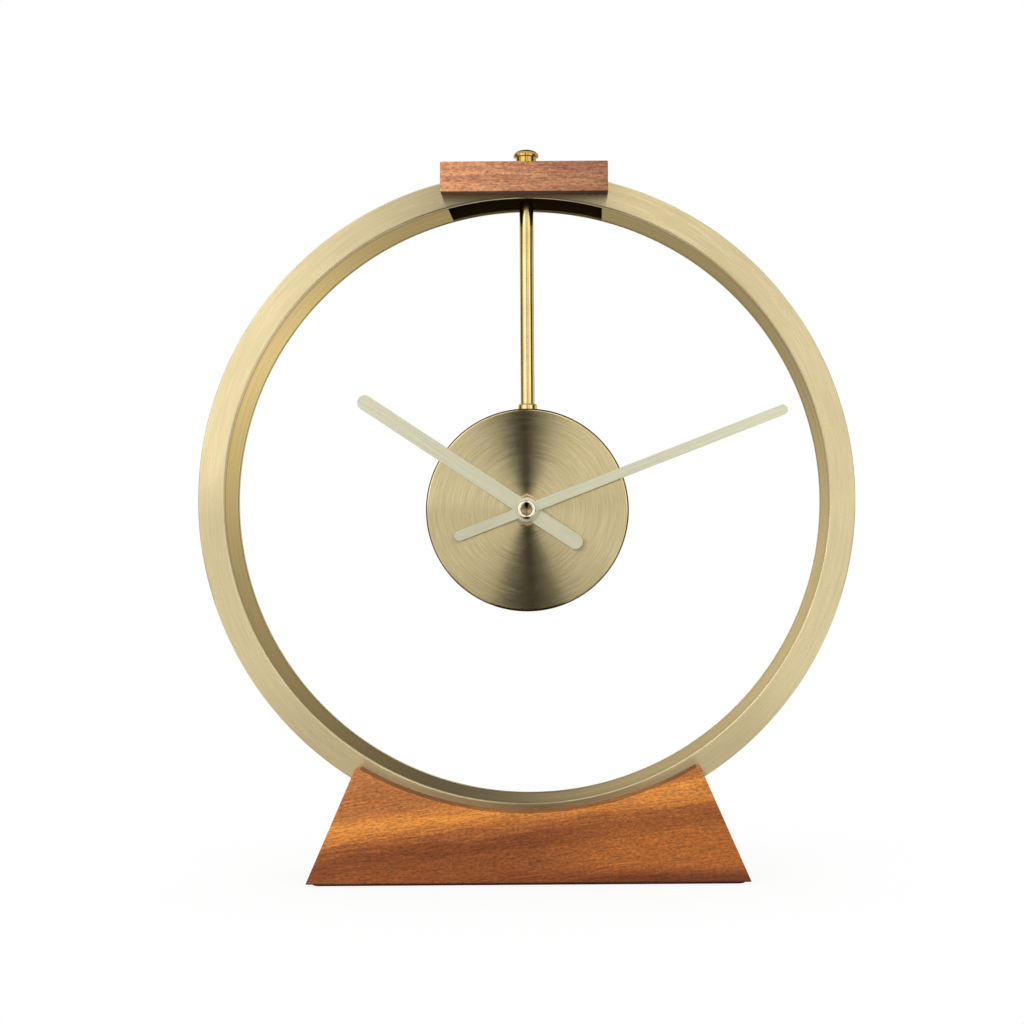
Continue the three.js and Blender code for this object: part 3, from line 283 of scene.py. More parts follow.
class Bench:
    """Adds nodes to a tree and joins them."""

    def __init__(self, tree):
        self.tree = tree
        self.step = 0

    def add(self, kind, inputs=(), **settings):
        """A new node, with its inputs fed and its settings made."""
        node = self.tree.nodes.new(kind)
        self.step += 1
        node.location = (self.step * 180, 0)
        for name, value in settings.items():
            setattr(node, name, value)
        for socket, value in dict(inputs).items():
            self.feed(node.inputs[socket], value)
        return node

    def feed(self, socket, value):
        """Joins a socket to a node, or gives it a plain value."""
        if isinstance(value, bpy.types.NodeSocket):
            self.tree.links.new(value, socket)
        else:
            socket.default_value = value

    def calc(self, operation, *values):
        """One step of arithmetic."""
        node = self.add("ShaderNodeMath", operation=operation)
        for socket, value in zip(node.inputs, values):
            self.feed(socket, value)
        return node.outputs[0]

    def parts(self, vector):
        """The X, Y and Z of a vector."""
        return self.add("ShaderNodeSeparateXYZ", {0: vector}).outputs

    def vector(self, x, y, z=0.0):
        """A vector of X, Y and Z."""
        return self.add("ShaderNodeCombineXYZ", {0: x, 1: y, 2: z}).outputs[0]

    def length(self, vector):
        """How long a vector is."""
        return self.add("ShaderNodeVectorMath", {0: vector}, operation="LENGTH").outputs["Value"]

    def noise(self, vector, scale, detail=2.0, roughness=0.5):
        """Cloudy noise from 0 to 1."""
        inputs = {"Vector": vector, "Scale": scale, "Detail": detail, "Roughness": roughness}
        return self.add("ShaderNodeTexNoise", inputs).outputs["Fac"]

    def spread(self, value, low, high, to_low=0.0, to_high=1.0):
        """A value that goes from one range to another and stays within it."""
        inputs = {0: value, 1: low, 2: high, 3: to_low, 4: to_high}
        return self.add("ShaderNodeMapRange", inputs, clamp=True).outputs[0]

    def blend(self, share, first, second, mode="MIX"):
        """The first colour, with a share of the second."""
        node = self.add("ShaderNodeMix", data_type="RGBA", blend_type=mode)
        self.feed(node.inputs[0], share)
        self.feed(node.inputs[6], first)
        self.feed(node.inputs[7], second)
        return node.outputs[2]

    def bump(self, height, depth, strength=1.0):
        """Fine relief, by its depth in metres."""
        inputs = {"Height": height, "Distance": depth, "Strength": strength}
        return self.add("ShaderNodeBump", inputs).outputs["Normal"]

    def place(self, x=0, y=0, z=0):
        """The place of a point, seen from another point in millimetres."""
        source = self.add("ShaderNodeTexCoord").outputs["Object"]
        inputs = {"Vector": source, "Location": (-x * MM, -y * MM, -z * MM)}
        return self.add("ShaderNodeMapping", inputs).outputs[0]


def shared_effect(name, inputs, outputs):
    """A node group with named inputs and outputs, and a bench to build it on."""
    group = bpy.data.node_groups.new(name, "ShaderNodeTree")
    for label, kind, value in inputs:
        socket = group.interface.new_socket(label, in_out="INPUT", socket_type=kind)
        if value is not None:
            socket.default_value = value
    for label, kind in outputs:
        group.interface.new_socket(label, in_out="OUTPUT", socket_type=kind)
    bench = Bench(group)
    source = bench.add("NodeGroupInput").outputs
    result = bench.add("NodeGroupOutput").inputs
    return group, bench, source, result


FLOAT = "NodeSocketFloat"
VECTOR = "NodeSocketVector"


def make_round_brushing():
    """Fine short scratches round an axis along Y, that drift in and out and differ in depth."""
    group, b, source, result = shared_effect(
        "round_brushing",
        [
            ("Vector", VECTOR, None),
            ("Fineness", FLOAT, 900.0),
            ("Length", FLOAT, 12.0),
            ("Drift", FLOAT, 0.001),
        ],
        [("Scratches", FLOAT), ("Bands", FLOAT)],
    )
    x, y, z = b.parts(source["Vector"])
    flat = b.vector(x, z)
    wander = b.calc("MULTIPLY", b.noise(flat, 60.0, 1.0), source["Drift"])
    across = b.calc("ADD", b.calc("ADD", b.length(flat), y), wander)
    long_x = b.calc("MULTIPLY", x, source["Length"])
    long_z = b.calc("MULTIPLY", z, source["Length"])

    def streaks(share, detail, roughness):
        fine = b.calc("MULTIPLY", across, b.calc("MULTIPLY", source["Fineness"], share))
        return b.noise(b.vector(long_x, long_z, fine), 1.0, detail, roughness)

    b.feed(result["Scratches"], streaks(1.0, 3.0, 0.7))
    b.feed(result["Bands"], streaks(0.3, 2.0, 0.6))
    return group


def make_handling():
    """Faint patches where a surface has been touched and wiped."""
    group, b, source, result = shared_effect(
        "handling",
        [("Vector", VECTOR, None), ("Size", FLOAT, 30.0)],
        [("Patches", FLOAT), ("Specks", FLOAT)],
    )
    patches = b.noise(source["Vector"], source["Size"], 4.0, 0.6)
    specks = b.noise(source["Vector"], b.calc("MULTIPLY", source["Size"], 40.0), 2.0, 0.5)
    b.feed(result["Patches"], b.spread(patches, 0.35, 0.7))
    b.feed(result["Specks"], b.spread(specks, 0.45, 0.75))
    return group


def make_wood_grain():
    """Straight grain along X: swaying growth layers, ripple, fibres, and short dark pores."""
    group, b, source, result = shared_effect(
        "wood_grain",
        [("Vector", VECTOR, None), ("Rise", FLOAT, 0.1), ("Sway", FLOAT, 0.012)],
        [("Height", FLOAT), ("Ripple", FLOAT), ("Fibres", FLOAT), ("Pores", FLOAT)],
    )
    across, depth, up = b.parts(source["Vector"])

    def stretched(height, share, depth_share=1.0):
        x = b.calc("MULTIPLY", across, share)
        y = b.calc("MULTIPLY", depth, depth_share)
        return b.vector(x, y, height)

    wander = b.calc("SUBTRACT", b.noise(stretched(up, 0.3, 0.5), 26.0, 2.0), 0.5)
    tilt = b.calc("MULTIPLY", across, source["Rise"])
    height = b.calc("SUBTRACT", up, tilt)
    height = b.calc("ADD", height, b.calc("MULTIPLY", wander, source["Sway"]))
    streak = b.calc("SUBTRACT", b.noise(stretched(height, 0.08, 0.3), 170.0, 3.0, 0.6), 0.5)
    layered = b.calc("ADD", height, b.calc("MULTIPLY", streak, 0.02))
    pores = b.noise(stretched(height, 0.22), 1700.0, 2.0, 0.6)
    b.feed(result["Height"], layered)
    b.feed(result["Ripple"], b.noise(stretched(height, 0.38), 1300.0, 4.0, 0.8))
    b.feed(result["Fibres"], b.noise(stretched(height, 0.06), 1300.0, 3.0, 0.65))
    b.feed(result["Pores"], b.spread(pores, 0.56, 0.68))
    return group


def make_moulded_grain():
    """The fine even texture of moulded plastic, foam and rubber."""
    group, b, source, result = shared_effect(
        "moulded_grain",
        [("Vector", VECTOR, None), ("Fineness", FLOAT, 1500.0)],
        [("Grain", FLOAT), ("Cells", FLOAT)],
    )
    b.feed(result["Grain"], b.noise(source["Vector"], source["Fineness"], 3.0, 0.6))
    inputs = {"Vector": source["Vector"], "Scale": source["Fineness"]}
    cells = b.add("ShaderNodeTexVoronoi", inputs).outputs["Distance"]
    b.feed(result["Cells"], b.spread(cells, 0.1, 0.6))
    return group


ROUND_BRUSHING = make_round_brushing()
HANDLING = make_handling()
WOOD_GRAIN = make_wood_grain()
MOULDED_GRAIN = make_moulded_grain()


def new_finish(name):
    """A material with a bench for its nodes and its Principled shader."""
    made = bpy.data.materials.new(name)
    made.use_nodes = True
    b = Bench(made.node_tree)
    shader = made.node_tree.nodes["Principled BSDF"]
    return made, b, shader


def effect(b, group, **inputs):
    """A shared effect placed in a material with its own values."""
    node = b.add("ShaderNodeGroup", node_tree=group)
    for label, value in inputs.items():
        b.feed(node.inputs[label], value)
    return node.outputs


def stretch_highlights(b, shader):
    """Spreads highlights across the scratches, along the piece's own map."""
    shader.inputs["Anisotropic Rotation"].default_value = 0.25
    tangent = b.add("ShaderNodeTangent", direction_type="UV_MAP", uv_map="brushing")
    b.feed(shader.inputs["Tangent"], tangent.outputs[0])


def brushed_brass(name, centre_z, tones, brushing, rough, anisotropy, edge_tone, depth, other):
    """Brass brushed round an axis, with another tone and roughness where a mask says."""
    made, b, shader = new_finish(name)
    vector = b.place(z=centre_z)
    fineness, length, drift, contrast, banding = brushing
    streaks = effect(
        b, ROUND_BRUSHING, Vector=vector, Fineness=fineness, Length=length, Drift=drift
    )
    touched = effect(b, HANDLING, Vector=vector, Size=26.0)
    dark, light = tones
    shade = b.blend(b.spread(streaks["Scratches"], 0.5 - contrast, 0.5 + contrast), dark, light)
    shade = b.blend(b.spread(streaks["Bands"], 0.35, 0.65, 0.0, banding), shade, dark)
    dull = b.spread(streaks["Bands"], 0.3, 0.7, rough * 0.9, rough * 1.1)
    dull = b.calc("ADD", dull, b.calc("MULTIPLY", touched["Patches"], 0.02))
    mask, other_tone, other_rough = other
    share = mask(b, vector)
    b.feed(shader.inputs["Base Color"], b.blend(share, shade, other_tone))
    rest = b.calc("SUBTRACT", 1.0, share)
    dull = b.calc("ADD", b.calc("MULTIPLY", dull, rest), b.calc("MULTIPLY", share, other_rough))
    b.feed(shader.inputs["Roughness"], dull)
    b.feed(shader.inputs["Anisotropic"], b.calc("MULTIPLY", rest, anisotropy))
    shader.inputs["Metallic"].default_value = 1.0
    shader.inputs["Specular Tint"].default_value = edge_tone
    stretch_highlights(b, shader)
    b.feed(shader.inputs["Normal"], b.bump(streaks["Scratches"], depth, 0.6))
    return made


def distance_from_axis(b, vector):
    """How far a point is from an axis along Y."""
    across, depth, up = b.parts(vector)
    return b.length(b.vector(across, up))


def channel_inside_painted_shade(b, vector):
    """The inside of the hoop's channel, behind its rims, where painted shade darkens the brass."""
    radius = distance_from_axis(b, vector)
    depth = b.calc("ABSOLUTE", b.parts(vector)[1])
    wall = HOOP_HALF_DEPTH - HOOP_WALL
    web = HOOP_RADIUS - HOOP_WALL
    within = b.spread(depth, (wall + 0.3) * MM, (wall + 0.5) * MM, 1.0, 0.0)
    under = b.spread(radius, (web + 0.2) * MM, (web + 0.4) * MM, 1.0, 0.0)
    behind = b.spread(radius, (HOOP_INNER + 0.6) * MM, (HOOP_INNER + 1.2) * MM)
    return b.calc("MULTIPLY", within, b.calc("MULTIPLY", under, behind))


def strip_painted_seam_shade(b, vector):
    """The strip's two edges, darkened with painted shade where they meet the rims."""
    depth = b.calc("ABSOLUTE", b.parts(vector)[1])
    low, high = STRIP_HALF_DEPTH - 2.5, STRIP_HALF_DEPTH - 0.9
    return b.spread(depth, low * MM, high * MM, 0.0, 0.8)


def drum_rim_painted_reflection(b, vector):
    """The drum's rounded edge and its wall, which are polished, in a darker tone that is a painted
    reflection of dark surroundings.
    """
    radius = distance_from_axis(b, vector)
    return b.spread(radius, (DRUM_RADIUS - 0.75) * MM, (DRUM_RADIUS - 0.6) * MM)


def straight_brushed(name, tones, roughness, anisotropy):
    """Thin sheet brushed along its length and lacquered."""
    made, b, shader = new_finish(name)
    uv = b.add("ShaderNodeUVMap", uv_map="brushing").outputs[0]
    inputs = {"Vector": uv, "Scale": (30.0, 1600.0, 1.0)}
    streak = b.add("ShaderNodeMapping", inputs).outputs[0]
    scratches = b.noise(streak, 1.0, 3.0, 0.6)
    touched = effect(b, HANDLING, Vector=b.place(), Size=60.0)
    dark, light = tones
    tone = b.blend(b.spread(scratches, 0.3, 0.7), dark, light)
    tone = b.blend(b.calc("MULTIPLY", touched["Patches"], 0.15), tone, dark)
    b.feed(shader.inputs["Base Color"], tone)
    shader.inputs["Metallic"].default_value = 1.0
    dull = b.spread(scratches, 0.3, 0.7, roughness - 0.04, roughness + 0.04)
    b.feed(shader.inputs["Roughness"], dull)
    shader.inputs["Anisotropic"].default_value = anisotropy
    stretch_highlights(b, shader)
    b.feed(shader.inputs["Normal"], b.bump(scratches, 0.0000015, 0.4))
    return made


def polished_metal(name, tones, roughness, hollow=None):
    """Smooth metal with faint wiping marks, and a darker hollow: (centre height, radius, tone)."""
    made, b, shader = new_finish(name)
    touched = effect(b, HANDLING, Vector=b.place(), Size=90.0)
    dark, light = tones
    tone = b.blend(b.calc("MULTIPLY", touched["Patches"], 0.6), light, dark)
    if hollow:
        centre_z, radius, hollow_tone = hollow
        away = distance_from_axis(b, b.place(z=centre_z))
        share = b.spread(away, (radius - 0.15) * MM, radius * MM, 1.0, 0.0)
        tone = b.blend(share, tone, hollow_tone)
    b.feed(shader.inputs["Base Color"], tone)
    shader.inputs["Metallic"].default_value = 1.0
    rough = b.spread(touched["Patches"], 0.0, 1.0, roughness * 0.8, roughness * 1.3)
    b.feed(shader.inputs["Roughness"], rough)
    b.feed(shader.inputs["Normal"], b.bump(touched["Specks"], 0.000004, 0.3))
    return made


def oiled_wood(name, layers, rise, sway, shading, fibre, painted_shade_mask, calm=None):
    """Oiled wood: growth layers, ripple, fibres and pores, a painted light that is brighter on the
    left, faces darkened with painted shade, and a calmer share.
    """
    made, b, shader = new_finish(name)
    vector = b.place()
    grain = effect(b, WOOD_GRAIN, Vector=vector, Rise=rise, Sway=sway)
    low, high = layers[0][0], layers[-1][0]
    ramp = b.add("ShaderNodeValToRGB", {0: b.spread(grain["Height"], low * MM, high * MM)})
    bands = ramp.color_ramp.elements
    bands[0].color = layers[0][1]
    bands[1].color = layers[-1][1]
    for height, tone in layers[1:-1]:
        bands.new((height - low) / (high - low)).color = tone
    tone = ramp.outputs[0]
    if calm:
        calm_mask, calm_tone = calm
        tone = b.blend(calm_mask(b, vector, grain["Height"]), tone, calm_tone)
    # Painted light: the wood is brighter on its left than on its right, as the light falls.
    shade = b.spread(b.parts(vector)[0], -0.1, 0.1, *shading)
    shade = b.calc("MULTIPLY", shade, b.spread(grain["Ripple"], 0.4, 0.6, 0.7, 1.32))
    shade = b.calc("MULTIPLY", shade, b.spread(grain["Fibres"], 0.3, 0.7, 1 - fibre, 1 + fibre))
    shade = b.calc("MULTIPLY", shade, b.spread(grain["Pores"], 0.0, 1.0, 1.0, 0.66))
    # Painted shade: the mask darkens chosen faces and takes away their shine.
    cut = painted_shade_mask(b, vector)
    shade = b.calc("MULTIPLY", shade, cut)
    b.feed(shader.inputs["Base Color"], b.blend(1.0, tone, shade, "MULTIPLY"))
    b.feed(shader.inputs["Roughness"], b.spread(grain["Fibres"], 0.3, 0.7, 0.46, 0.6))
    b.feed(shader.inputs["Specular IOR Level"], b.calc("MULTIPLY", cut, 0.3))
    height = b.calc("SUBTRACT", b.calc("MULTIPLY", grain["Fibres"], 0.4), grain["Pores"])
    b.feed(shader.inputs["Normal"], b.bump(height, 0.0001, 0.5))
    return made


def foot_calm_share(b, vector, height):
    """The foot's lower right, where the layers run together."""
    across, depth, up = b.parts(vector)
    share = b.spread(across, 0.0, 0.04, 0.0, 0.85)
    share = b.calc("MULTIPLY", share, b.spread(height, 0.013, 0.028, 1.0, 0.0))
    return b.calc("MULTIPLY", share, b.spread(up, 0.004, 0.009))


def foot_painted_shade(b, vector):
    """The foot's dished top and its underside, darkened with painted shade."""
    height = b.parts(vector)[2]
    radius = distance_from_axis(b, b.place(z=DISH_Z))
    dished = b.spread(radius, (DISH_RADIUS + 0.2) * MM, (DISH_RADIUS + 0.4) * MM, 0.45, 1.0)
    low, high = FOOT_UNDERSIDE + 0.3, FOOT_UNDERSIDE + 0.7
    return b.calc("MULTIPLY", dished, b.spread(height, low * MM, high * MM, 0.4, 1.0))


def block_painted_shade(b, vector):
    """The block's underside, darkened with painted shade."""
    low, high = BLOCK_UNDERSIDE + 0.1, BLOCK_UNDERSIDE + 0.5
    return b.spread(b.parts(vector)[2], low * MM, high * MM, 0.18, 1.0)


def moulded(name, dark, light, roughness, fineness, depth, see_cells=0.0):
    """Moulded plastic, rubber or foam."""
    made, b, shader = new_finish(name)
    vector = b.place()
    grain = effect(b, MOULDED_GRAIN, Vector=vector, Fineness=fineness)
    touched = effect(b, HANDLING, Vector=vector, Size=120.0)
    share = b.calc("MULTIPLY", grain["Grain"], 0.7)
    share = b.calc("ADD", share, b.calc("MULTIPLY", grain["Cells"], see_cells))
    b.feed(shader.inputs["Base Color"], b.blend(share, dark, light))
    rough = b.spread(touched["Patches"], 0.0, 1.0, roughness - 0.05, roughness + 0.06)
    b.feed(shader.inputs["Roughness"], rough)
    b.feed(shader.inputs["Normal"], b.bump(grain["Grain"], depth, 0.5))
    return made


def wound_wire(name):
    """Enamelled copper wire, turn beside turn along X."""
    made, b, shader = new_finish(name)
    vector = b.place()
    inputs = {"Vector": vector, "Scale": 1100.0, "Distortion": 0.4}
    turns = b.add("ShaderNodeTexWave", inputs, bands_direction="X").outputs["Fac"]
    touched = effect(b, HANDLING, Vector=vector, Size=200.0)
    tone = b.blend(turns, colour(120, 52, 20), colour(205, 122, 62))
    tone = b.blend(b.calc("MULTIPLY", touched["Patches"], 0.3), tone, colour(150, 70, 30))
    b.feed(shader.inputs["Base Color"], tone)
    shader.inputs["Metallic"].default_value = 1.0
    shader.inputs["Roughness"].default_value = 0.32
    b.feed(shader.inputs["Normal"], b.bump(turns, 0.00008, 0.8))
    return made


def circuit_board(name):
    """Green laminate with its glass weave and a few pale tracks."""
    made, b, shader = new_finish(name)
    vector = b.place()
    grain = effect(b, MOULDED_GRAIN, Vector=vector, Fineness=900.0)
    inputs = {"Vector": vector, "Scale": 260.0, "Detail": 0.0}
    lines = b.add("ShaderNodeTexWave", inputs, bands_direction="DIAGONAL").outputs["Fac"]
    tracks = b.spread(lines, 0.80, 0.9, 0.0, 0.5)
    green = b.blend(grain["Cells"], colour(30, 86, 48), colour(52, 118, 68))
    b.feed(shader.inputs["Base Color"], b.blend(tracks, green, colour(120, 170, 110)))
    shader.inputs["Roughness"].default_value = 0.35
    b.feed(shader.inputs["Normal"], b.bump(lines, 0.00003, 0.5))
    return made


def cell_sleeve(name, centre):
    """The battery: a satin sleeve with a pale band, and bare metal at both ends."""
    made, b, shader = new_finish(name)
    vector = b.place(*centre)
    along = b.parts(vector)[0]
    touched = effect(b, HANDLING, Vector=vector, Size=90.0)
    sleeve_end, band_start = 23.8, 12.5
    bare = b.calc("GREATER_THAN", b.calc("ABSOLUTE", along), sleeve_end * MM)
    band = b.calc("GREATER_THAN", along, band_start * MM)
    sleeve = b.blend(band, colour(70, 84, 98), colour(196, 178, 132))
    sleeve = b.blend(b.calc("MULTIPLY", touched["Patches"], 0.25), sleeve, colour(58, 66, 76))
    b.feed(shader.inputs["Base Color"], b.blend(bare, sleeve, colour(205, 204, 200)))
    b.feed(shader.inputs["Metallic"], b.spread(bare, 0.0, 1.0, 0.35, 1.0))
    b.feed(shader.inputs["Roughness"], b.spread(touched["Patches"], 0.0, 1.0, 0.26, 0.36))
    b.feed(shader.inputs["Normal"], b.bump(touched["Specks"], 0.00001, 0.3))
    return made


FINISHES = {
    "hoop brass": brushed_brass(
        "hoop_brass", HOOP_Z, (colour(206, 189, 145), colour(228, 212, 169)),
        (1300.0, 40.0, 0.0004, 0.3, 0.15), 0.28, 1.0, colour(255, 250, 235), 0.0000025,
        # Painted shade: the dark tone inside the channel.
        (channel_inside_painted_shade, colour(58, 45, 22), 0.6),
    ),
    "strip brass": brushed_brass(
        "strip_brass", HOOP_Z, (colour(178, 156, 104), colour(214, 193, 138)),
        (650.0, 14.0, 0.0004, 0.22, 0.5), 0.23, 0.6, colour(240, 228, 195), 0.0000008,
        # Painted shade: the dark tone along the strip's seams.
        (strip_painted_seam_shade, colour(96, 76, 38), 0.4),
    ),
    "dial brass": brushed_brass(
        "dial_brass", DIAL_Z, (colour(190, 174, 128), colour(222, 207, 163)),
        (1500.0, 70.0, 0.0003, 0.26, 0.22), 0.2, 1.0, colour(255, 248, 230), 0.0000035,
        # Painted reflection: the rim's darker tone.
        (drum_rim_painted_reflection, colour(112, 88, 46), 0.12),
    ),
    "polished brass": polished_metal(
        "polished_brass", (colour(190, 165, 106), colour(216, 193, 136)), 0.14
    ),
    "old brass": polished_metal(
        "old_brass", (colour(150, 118, 56), colour(200, 166, 88)), 0.16
    ),
    "pale brass": polished_metal(
        "pale_brass", (colour(206, 178, 134), colour(230, 206, 164)), 0.2
    ),
    "champagne": straight_brushed(
        "champagne", (colour(208, 206, 178), colour(228, 225, 198)), 0.42, 0.5
    ),
    "pale nickel": polished_metal(
        "pale_nickel", (colour(226, 210, 188), colour(246, 232, 212)), 0.12,
        hollow=(DIAL_Z, 2.85, colour(132, 116, 84)),
    ),
    "nickel": polished_metal("nickel", (colour(186, 182, 174), colour(214, 210, 202)), 0.12),
    "steel": polished_metal("steel", (colour(138, 140, 143), colour(176, 178, 180)), 0.3),
    "magnet": polished_metal("magnet", (colour(58, 58, 62), colour(92, 92, 98)), 0.42),
    "foot wood": oiled_wood(
        "foot_wood",
        (
            (-10, colour(116, 57, 24)), (0, colour(130, 66, 27)), (5, colour(140, 75, 32)),
            (10, colour(150, 82, 36)), (15, colour(146, 80, 34)), (18, colour(130, 68, 30)),
            (22, colour(138, 74, 33)), (24, colour(166, 96, 44)), (26, colour(162, 92, 42)),
            (29, colour(198, 120, 52)), (33, colour(216, 136, 58)), (36, colour(230, 147, 62)),
            (39, colour(204, 126, 57)), (43, colour(184, 114, 57)), (50, colour(180, 108, 54)),
            (60, colour(188, 119, 62)),
        ),
        # (1.24, 1.08) is painted light, brighter on the left; the dished top and underside get
        # painted shade.
        0.13, 0.01, (1.24, 1.08), 0.27, foot_painted_shade, (foot_calm_share, colour(186, 108, 44)),
    ),
    "block wood": oiled_wood(
        "block_wood",
        (
            (313, colour(212, 144, 102)), (316, colour(230, 162, 114)),
            (318, colour(204, 136, 98)), (320, colour(232, 166, 118)),
            (323, colour(206, 138, 100)), (325, colour(226, 156, 110)),
            (328, colour(198, 130, 98)),
        ),
        # (1.8, 0.16) is painted light, brighter on the left and darker on the right; the underside
        # gets painted shade.
        0.012, 0.006, (1.8, 0.16), 0.14, block_painted_shade,
    ),
    "foam": moulded("foam", colour(48, 26, 18), colour(84, 50, 34), 0.9, 1400.0, 0.00006, 0.25),
    "rubber": moulded("rubber", colour(20, 20, 20), colour(38, 38, 38), 0.7, 2500.0, 0.00001),
    "black plastic": moulded(
        "black_plastic", colour(20, 20, 22), colour(42, 42, 45), 0.5, 3000.0, 0.00001
    ),
    "white plastic": moulded(
        "white_plastic", colour(216, 213, 206), colour(236, 234, 228), 0.38, 3000.0, 0.000004
    ),
    "grey plastic": moulded(
        "grey_plastic", colour(124, 127, 130), colour(156, 158, 160), 0.4, 3000.0, 0.000004
    ),
    "resin": moulded("resin", colour(10, 10, 11), colour(26, 26, 27), 0.2, 1500.0, 0.000006),
    "copper wire": wound_wire("copper_wire"),
    "board": circuit_board("board"),
    "cell": cell_sleeve("cell", CELL_CENTRE),
}

CARRIED = {
    "steel": ("anchor_plate", "foot_screw_1", "foot_screw_2", "drum_nut", "stator", "coil_core"),
    "black plastic": ("movement_case", "movement_cover"),
    "rubber": ("rubber_gasket",),
    "white plastic": (
        "train_plate", "minute_arbor", "centre_wheel", "hour_wheel", "minute_wheel",
        "intermediate_wheel", "setting_pinion",
    ),
    "magnet": ("rotor",),
    "grey plastic": ("coil_bobbin",),
    "copper wire": ("coil_winding",),
    "board": ("circuit_board",),
    "resin": ("control_chip",),
    "nickel": ("quartz_crystal", "battery_contact_positive", "battery_contact_negative"),
}


def dress_carried_nodes():
    """The finishes of the CAD nodes that stay as they are."""
    for finish_name, nodes in CARRIED.items():
        for node in nodes:
            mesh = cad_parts[node].data
            mesh.materials.clear()
            mesh.materials.append(FINISHES[finish_name])


# The hoop and what carries it

def make_hoop():
    """A channel rolled into a ring, open side inwards, with eased edges."""
    web = HOOP_RADIUS - HOOP_WALL
    side = HOOP_HALF_DEPTH - HOOP_WALL
    points = [
        (HOOP_RADIUS, -HOOP_HALF_DEPTH), (HOOP_RADIUS, HOOP_HALF_DEPTH),
        (HOOP_INNER, HOOP_HALF_DEPTH), (HOOP_INNER, side), (web, side),
        (web, -side), (HOOP_INNER, -side), (HOOP_INNER, -HOOP_HALF_DEPTH),
    ]
    eased = [(0, 0.6), (1, 0.6), (2, 0.9), (3, 0.3), (4, 0.4), (5, 0.4), (6, 0.3), (7, 0.9)]
    shape = turned(points, eased, 288, at(0, 0, HOOP_Z, ALONG_Y))
    piece = as_object("hoop", shape)
    wrap_map(piece, HOOP_Z, HOOP_RADIUS)
    finish(piece, "frame", "hoop brass", ["hoop_channel"])


def make_cover_strip():
    """The strip that closes the channel, cut away under the block."""
    half = math.degrees(math.asin(STRIP_OPENING / 2 / STRIP_OUTER))
    points = [
        (STRIP_OUTER, -STRIP_HALF_DEPTH), (STRIP_OUTER, STRIP_HALF_DEPTH),
        (STRIP_INNER, STRIP_HALF_DEPTH), (STRIP_INNER, -STRIP_HALF_DEPTH),
    ]
    eased = [(2, 0.25), (3, 0.25)]
    turn = Matrix.Rotation(math.radians(half - 90), 4, "Y") @ ALONG_Y
    shape = turned(points, eased, 264, at(0, 0, HOOP_Z, turn), 360 - 2 * half)
    piece = as_object("cover_strip", shape)
    wrap_map(piece, HOOP_Z, HOOP_RADIUS)
    finish(piece, "frame", "strip brass", ["hoop_cover_strip"])


def hoop_groove():
    """The room that the hoop takes in a block of wood."""
    place = at(0, -GROOVE_HALF_DEPTH, HOOP_Z, ALONG_Y)
    return disc(GROOVE_RADIUS, 0, 2 * GROOVE_HALF_DEPTH, 288, place)


def make_foot():
    """The wooden foot: sloped ends, a dished top, and a groove for the hoop."""
    base, tip = 100.75, 78.0
    points = [(-base, FOOT_UNDERSIDE), (base, FOOT_UNDERSIDE), (tip, FOOT_TOP), (-tip, FOOT_TOP)]
    shape = prism(points, 2 * FOOT_HALF_DEPTH, at(0, -FOOT_HALF_DEPTH, 0))
    piece = as_object("foot", shape)
    past = FOOT_HALF_DEPTH + 2
    dip = disc(DISH_RADIUS, 0, 2 * past, 288, at(0, -past, DISH_Z, ALONG_Y))
    work(piece, [("DIFFERENCE", dip), ("DIFFERENCE", hoop_groove())], 0.5, 3)
    finish(piece, "frame", "foot wood", ["foot_block"])


def make_foot_pad():
    """The thin pad under the foot."""
    length, depth, thickness, corner = 98.25, 27.5, 1, 4
    points = [(-length, -depth), (length, -depth), (length, depth), (-length, depth)]
    corners = [(index, corner) for index in range(4)]
    shape = prism(points, thickness, at(0, 0, thickness, ALONG_Y), corners)
    piece = as_object("foot_pad_foam", shape)
    work(piece, [], 0.2)
    finish(piece, "frame", "foam", ["foot_pad"])


def make_top_block():
    """The wooden block that sits over the top of the hoop."""
    low, high = (-38, -28, BLOCK_UNDERSIDE), (38, 28, BLOCK_TOP)
    piece = as_object("top_block_wood", block(low, high))
    work(piece, [("DIFFERENCE", hoop_groove())], 0.45, 3)
    finish(piece, "frame", "block wood", ["top_block"])


# The rod and its fastenings

def make_rod():
    """The polished rod, with its thinner ends."""
    bottom, lower_step, upper_step, top = 209.8, 217.0, 315.8, 334
    radius, end, slope = 3.25, 2.9, 0.4
    points = [
        (0, bottom), (end, bottom), (end, lower_step), (radius, lower_step + slope),
        (radius, upper_step - slope), (end, upper_step), (end, top), (0, top),
    ]
    piece = as_object("rod", turned(points, [(1, 0.3), (6, 0.3)], 64))
    finish(piece, "frame", "polished brass", ["hanger_rod"])


def make_collar():
    """The collar where the rod meets the drum."""
    hole, radius, bottom, top = 2.95, 4.4, 216.64, 219.44
    shape = ring(hole, radius, bottom, top, [(1, 0.4), (2, 0.9)], 64)
    piece = as_object("collar", shape)
    finish(piece, "frame", "polished brass", ["rod_collar"])


def make_dome_nut():
    """The nut on the block: a neck under a wider domed head."""
    seat = BLOCK_TOP + 0.1
    neck, head, under, rim, rise = 4.7, 5.8, 334.4, 335.1, 2.8
    points = [(0, seat), (neck, seat), (neck, under), (head, under), (head, rim)]
    for step in range(1, 12):
        angle = math.pi / 2 * step / 12
        points.append((head * math.cos(angle), rim + rise * math.sin(angle)))
    points.append((0, rim + rise))
    piece = as_object("domed_nut", turned(points, [(1, 0.2), (2, 0.15), (3, 0.2)], 64))
    finish(piece, "frame", "old brass", ["dome_nut"], 50)


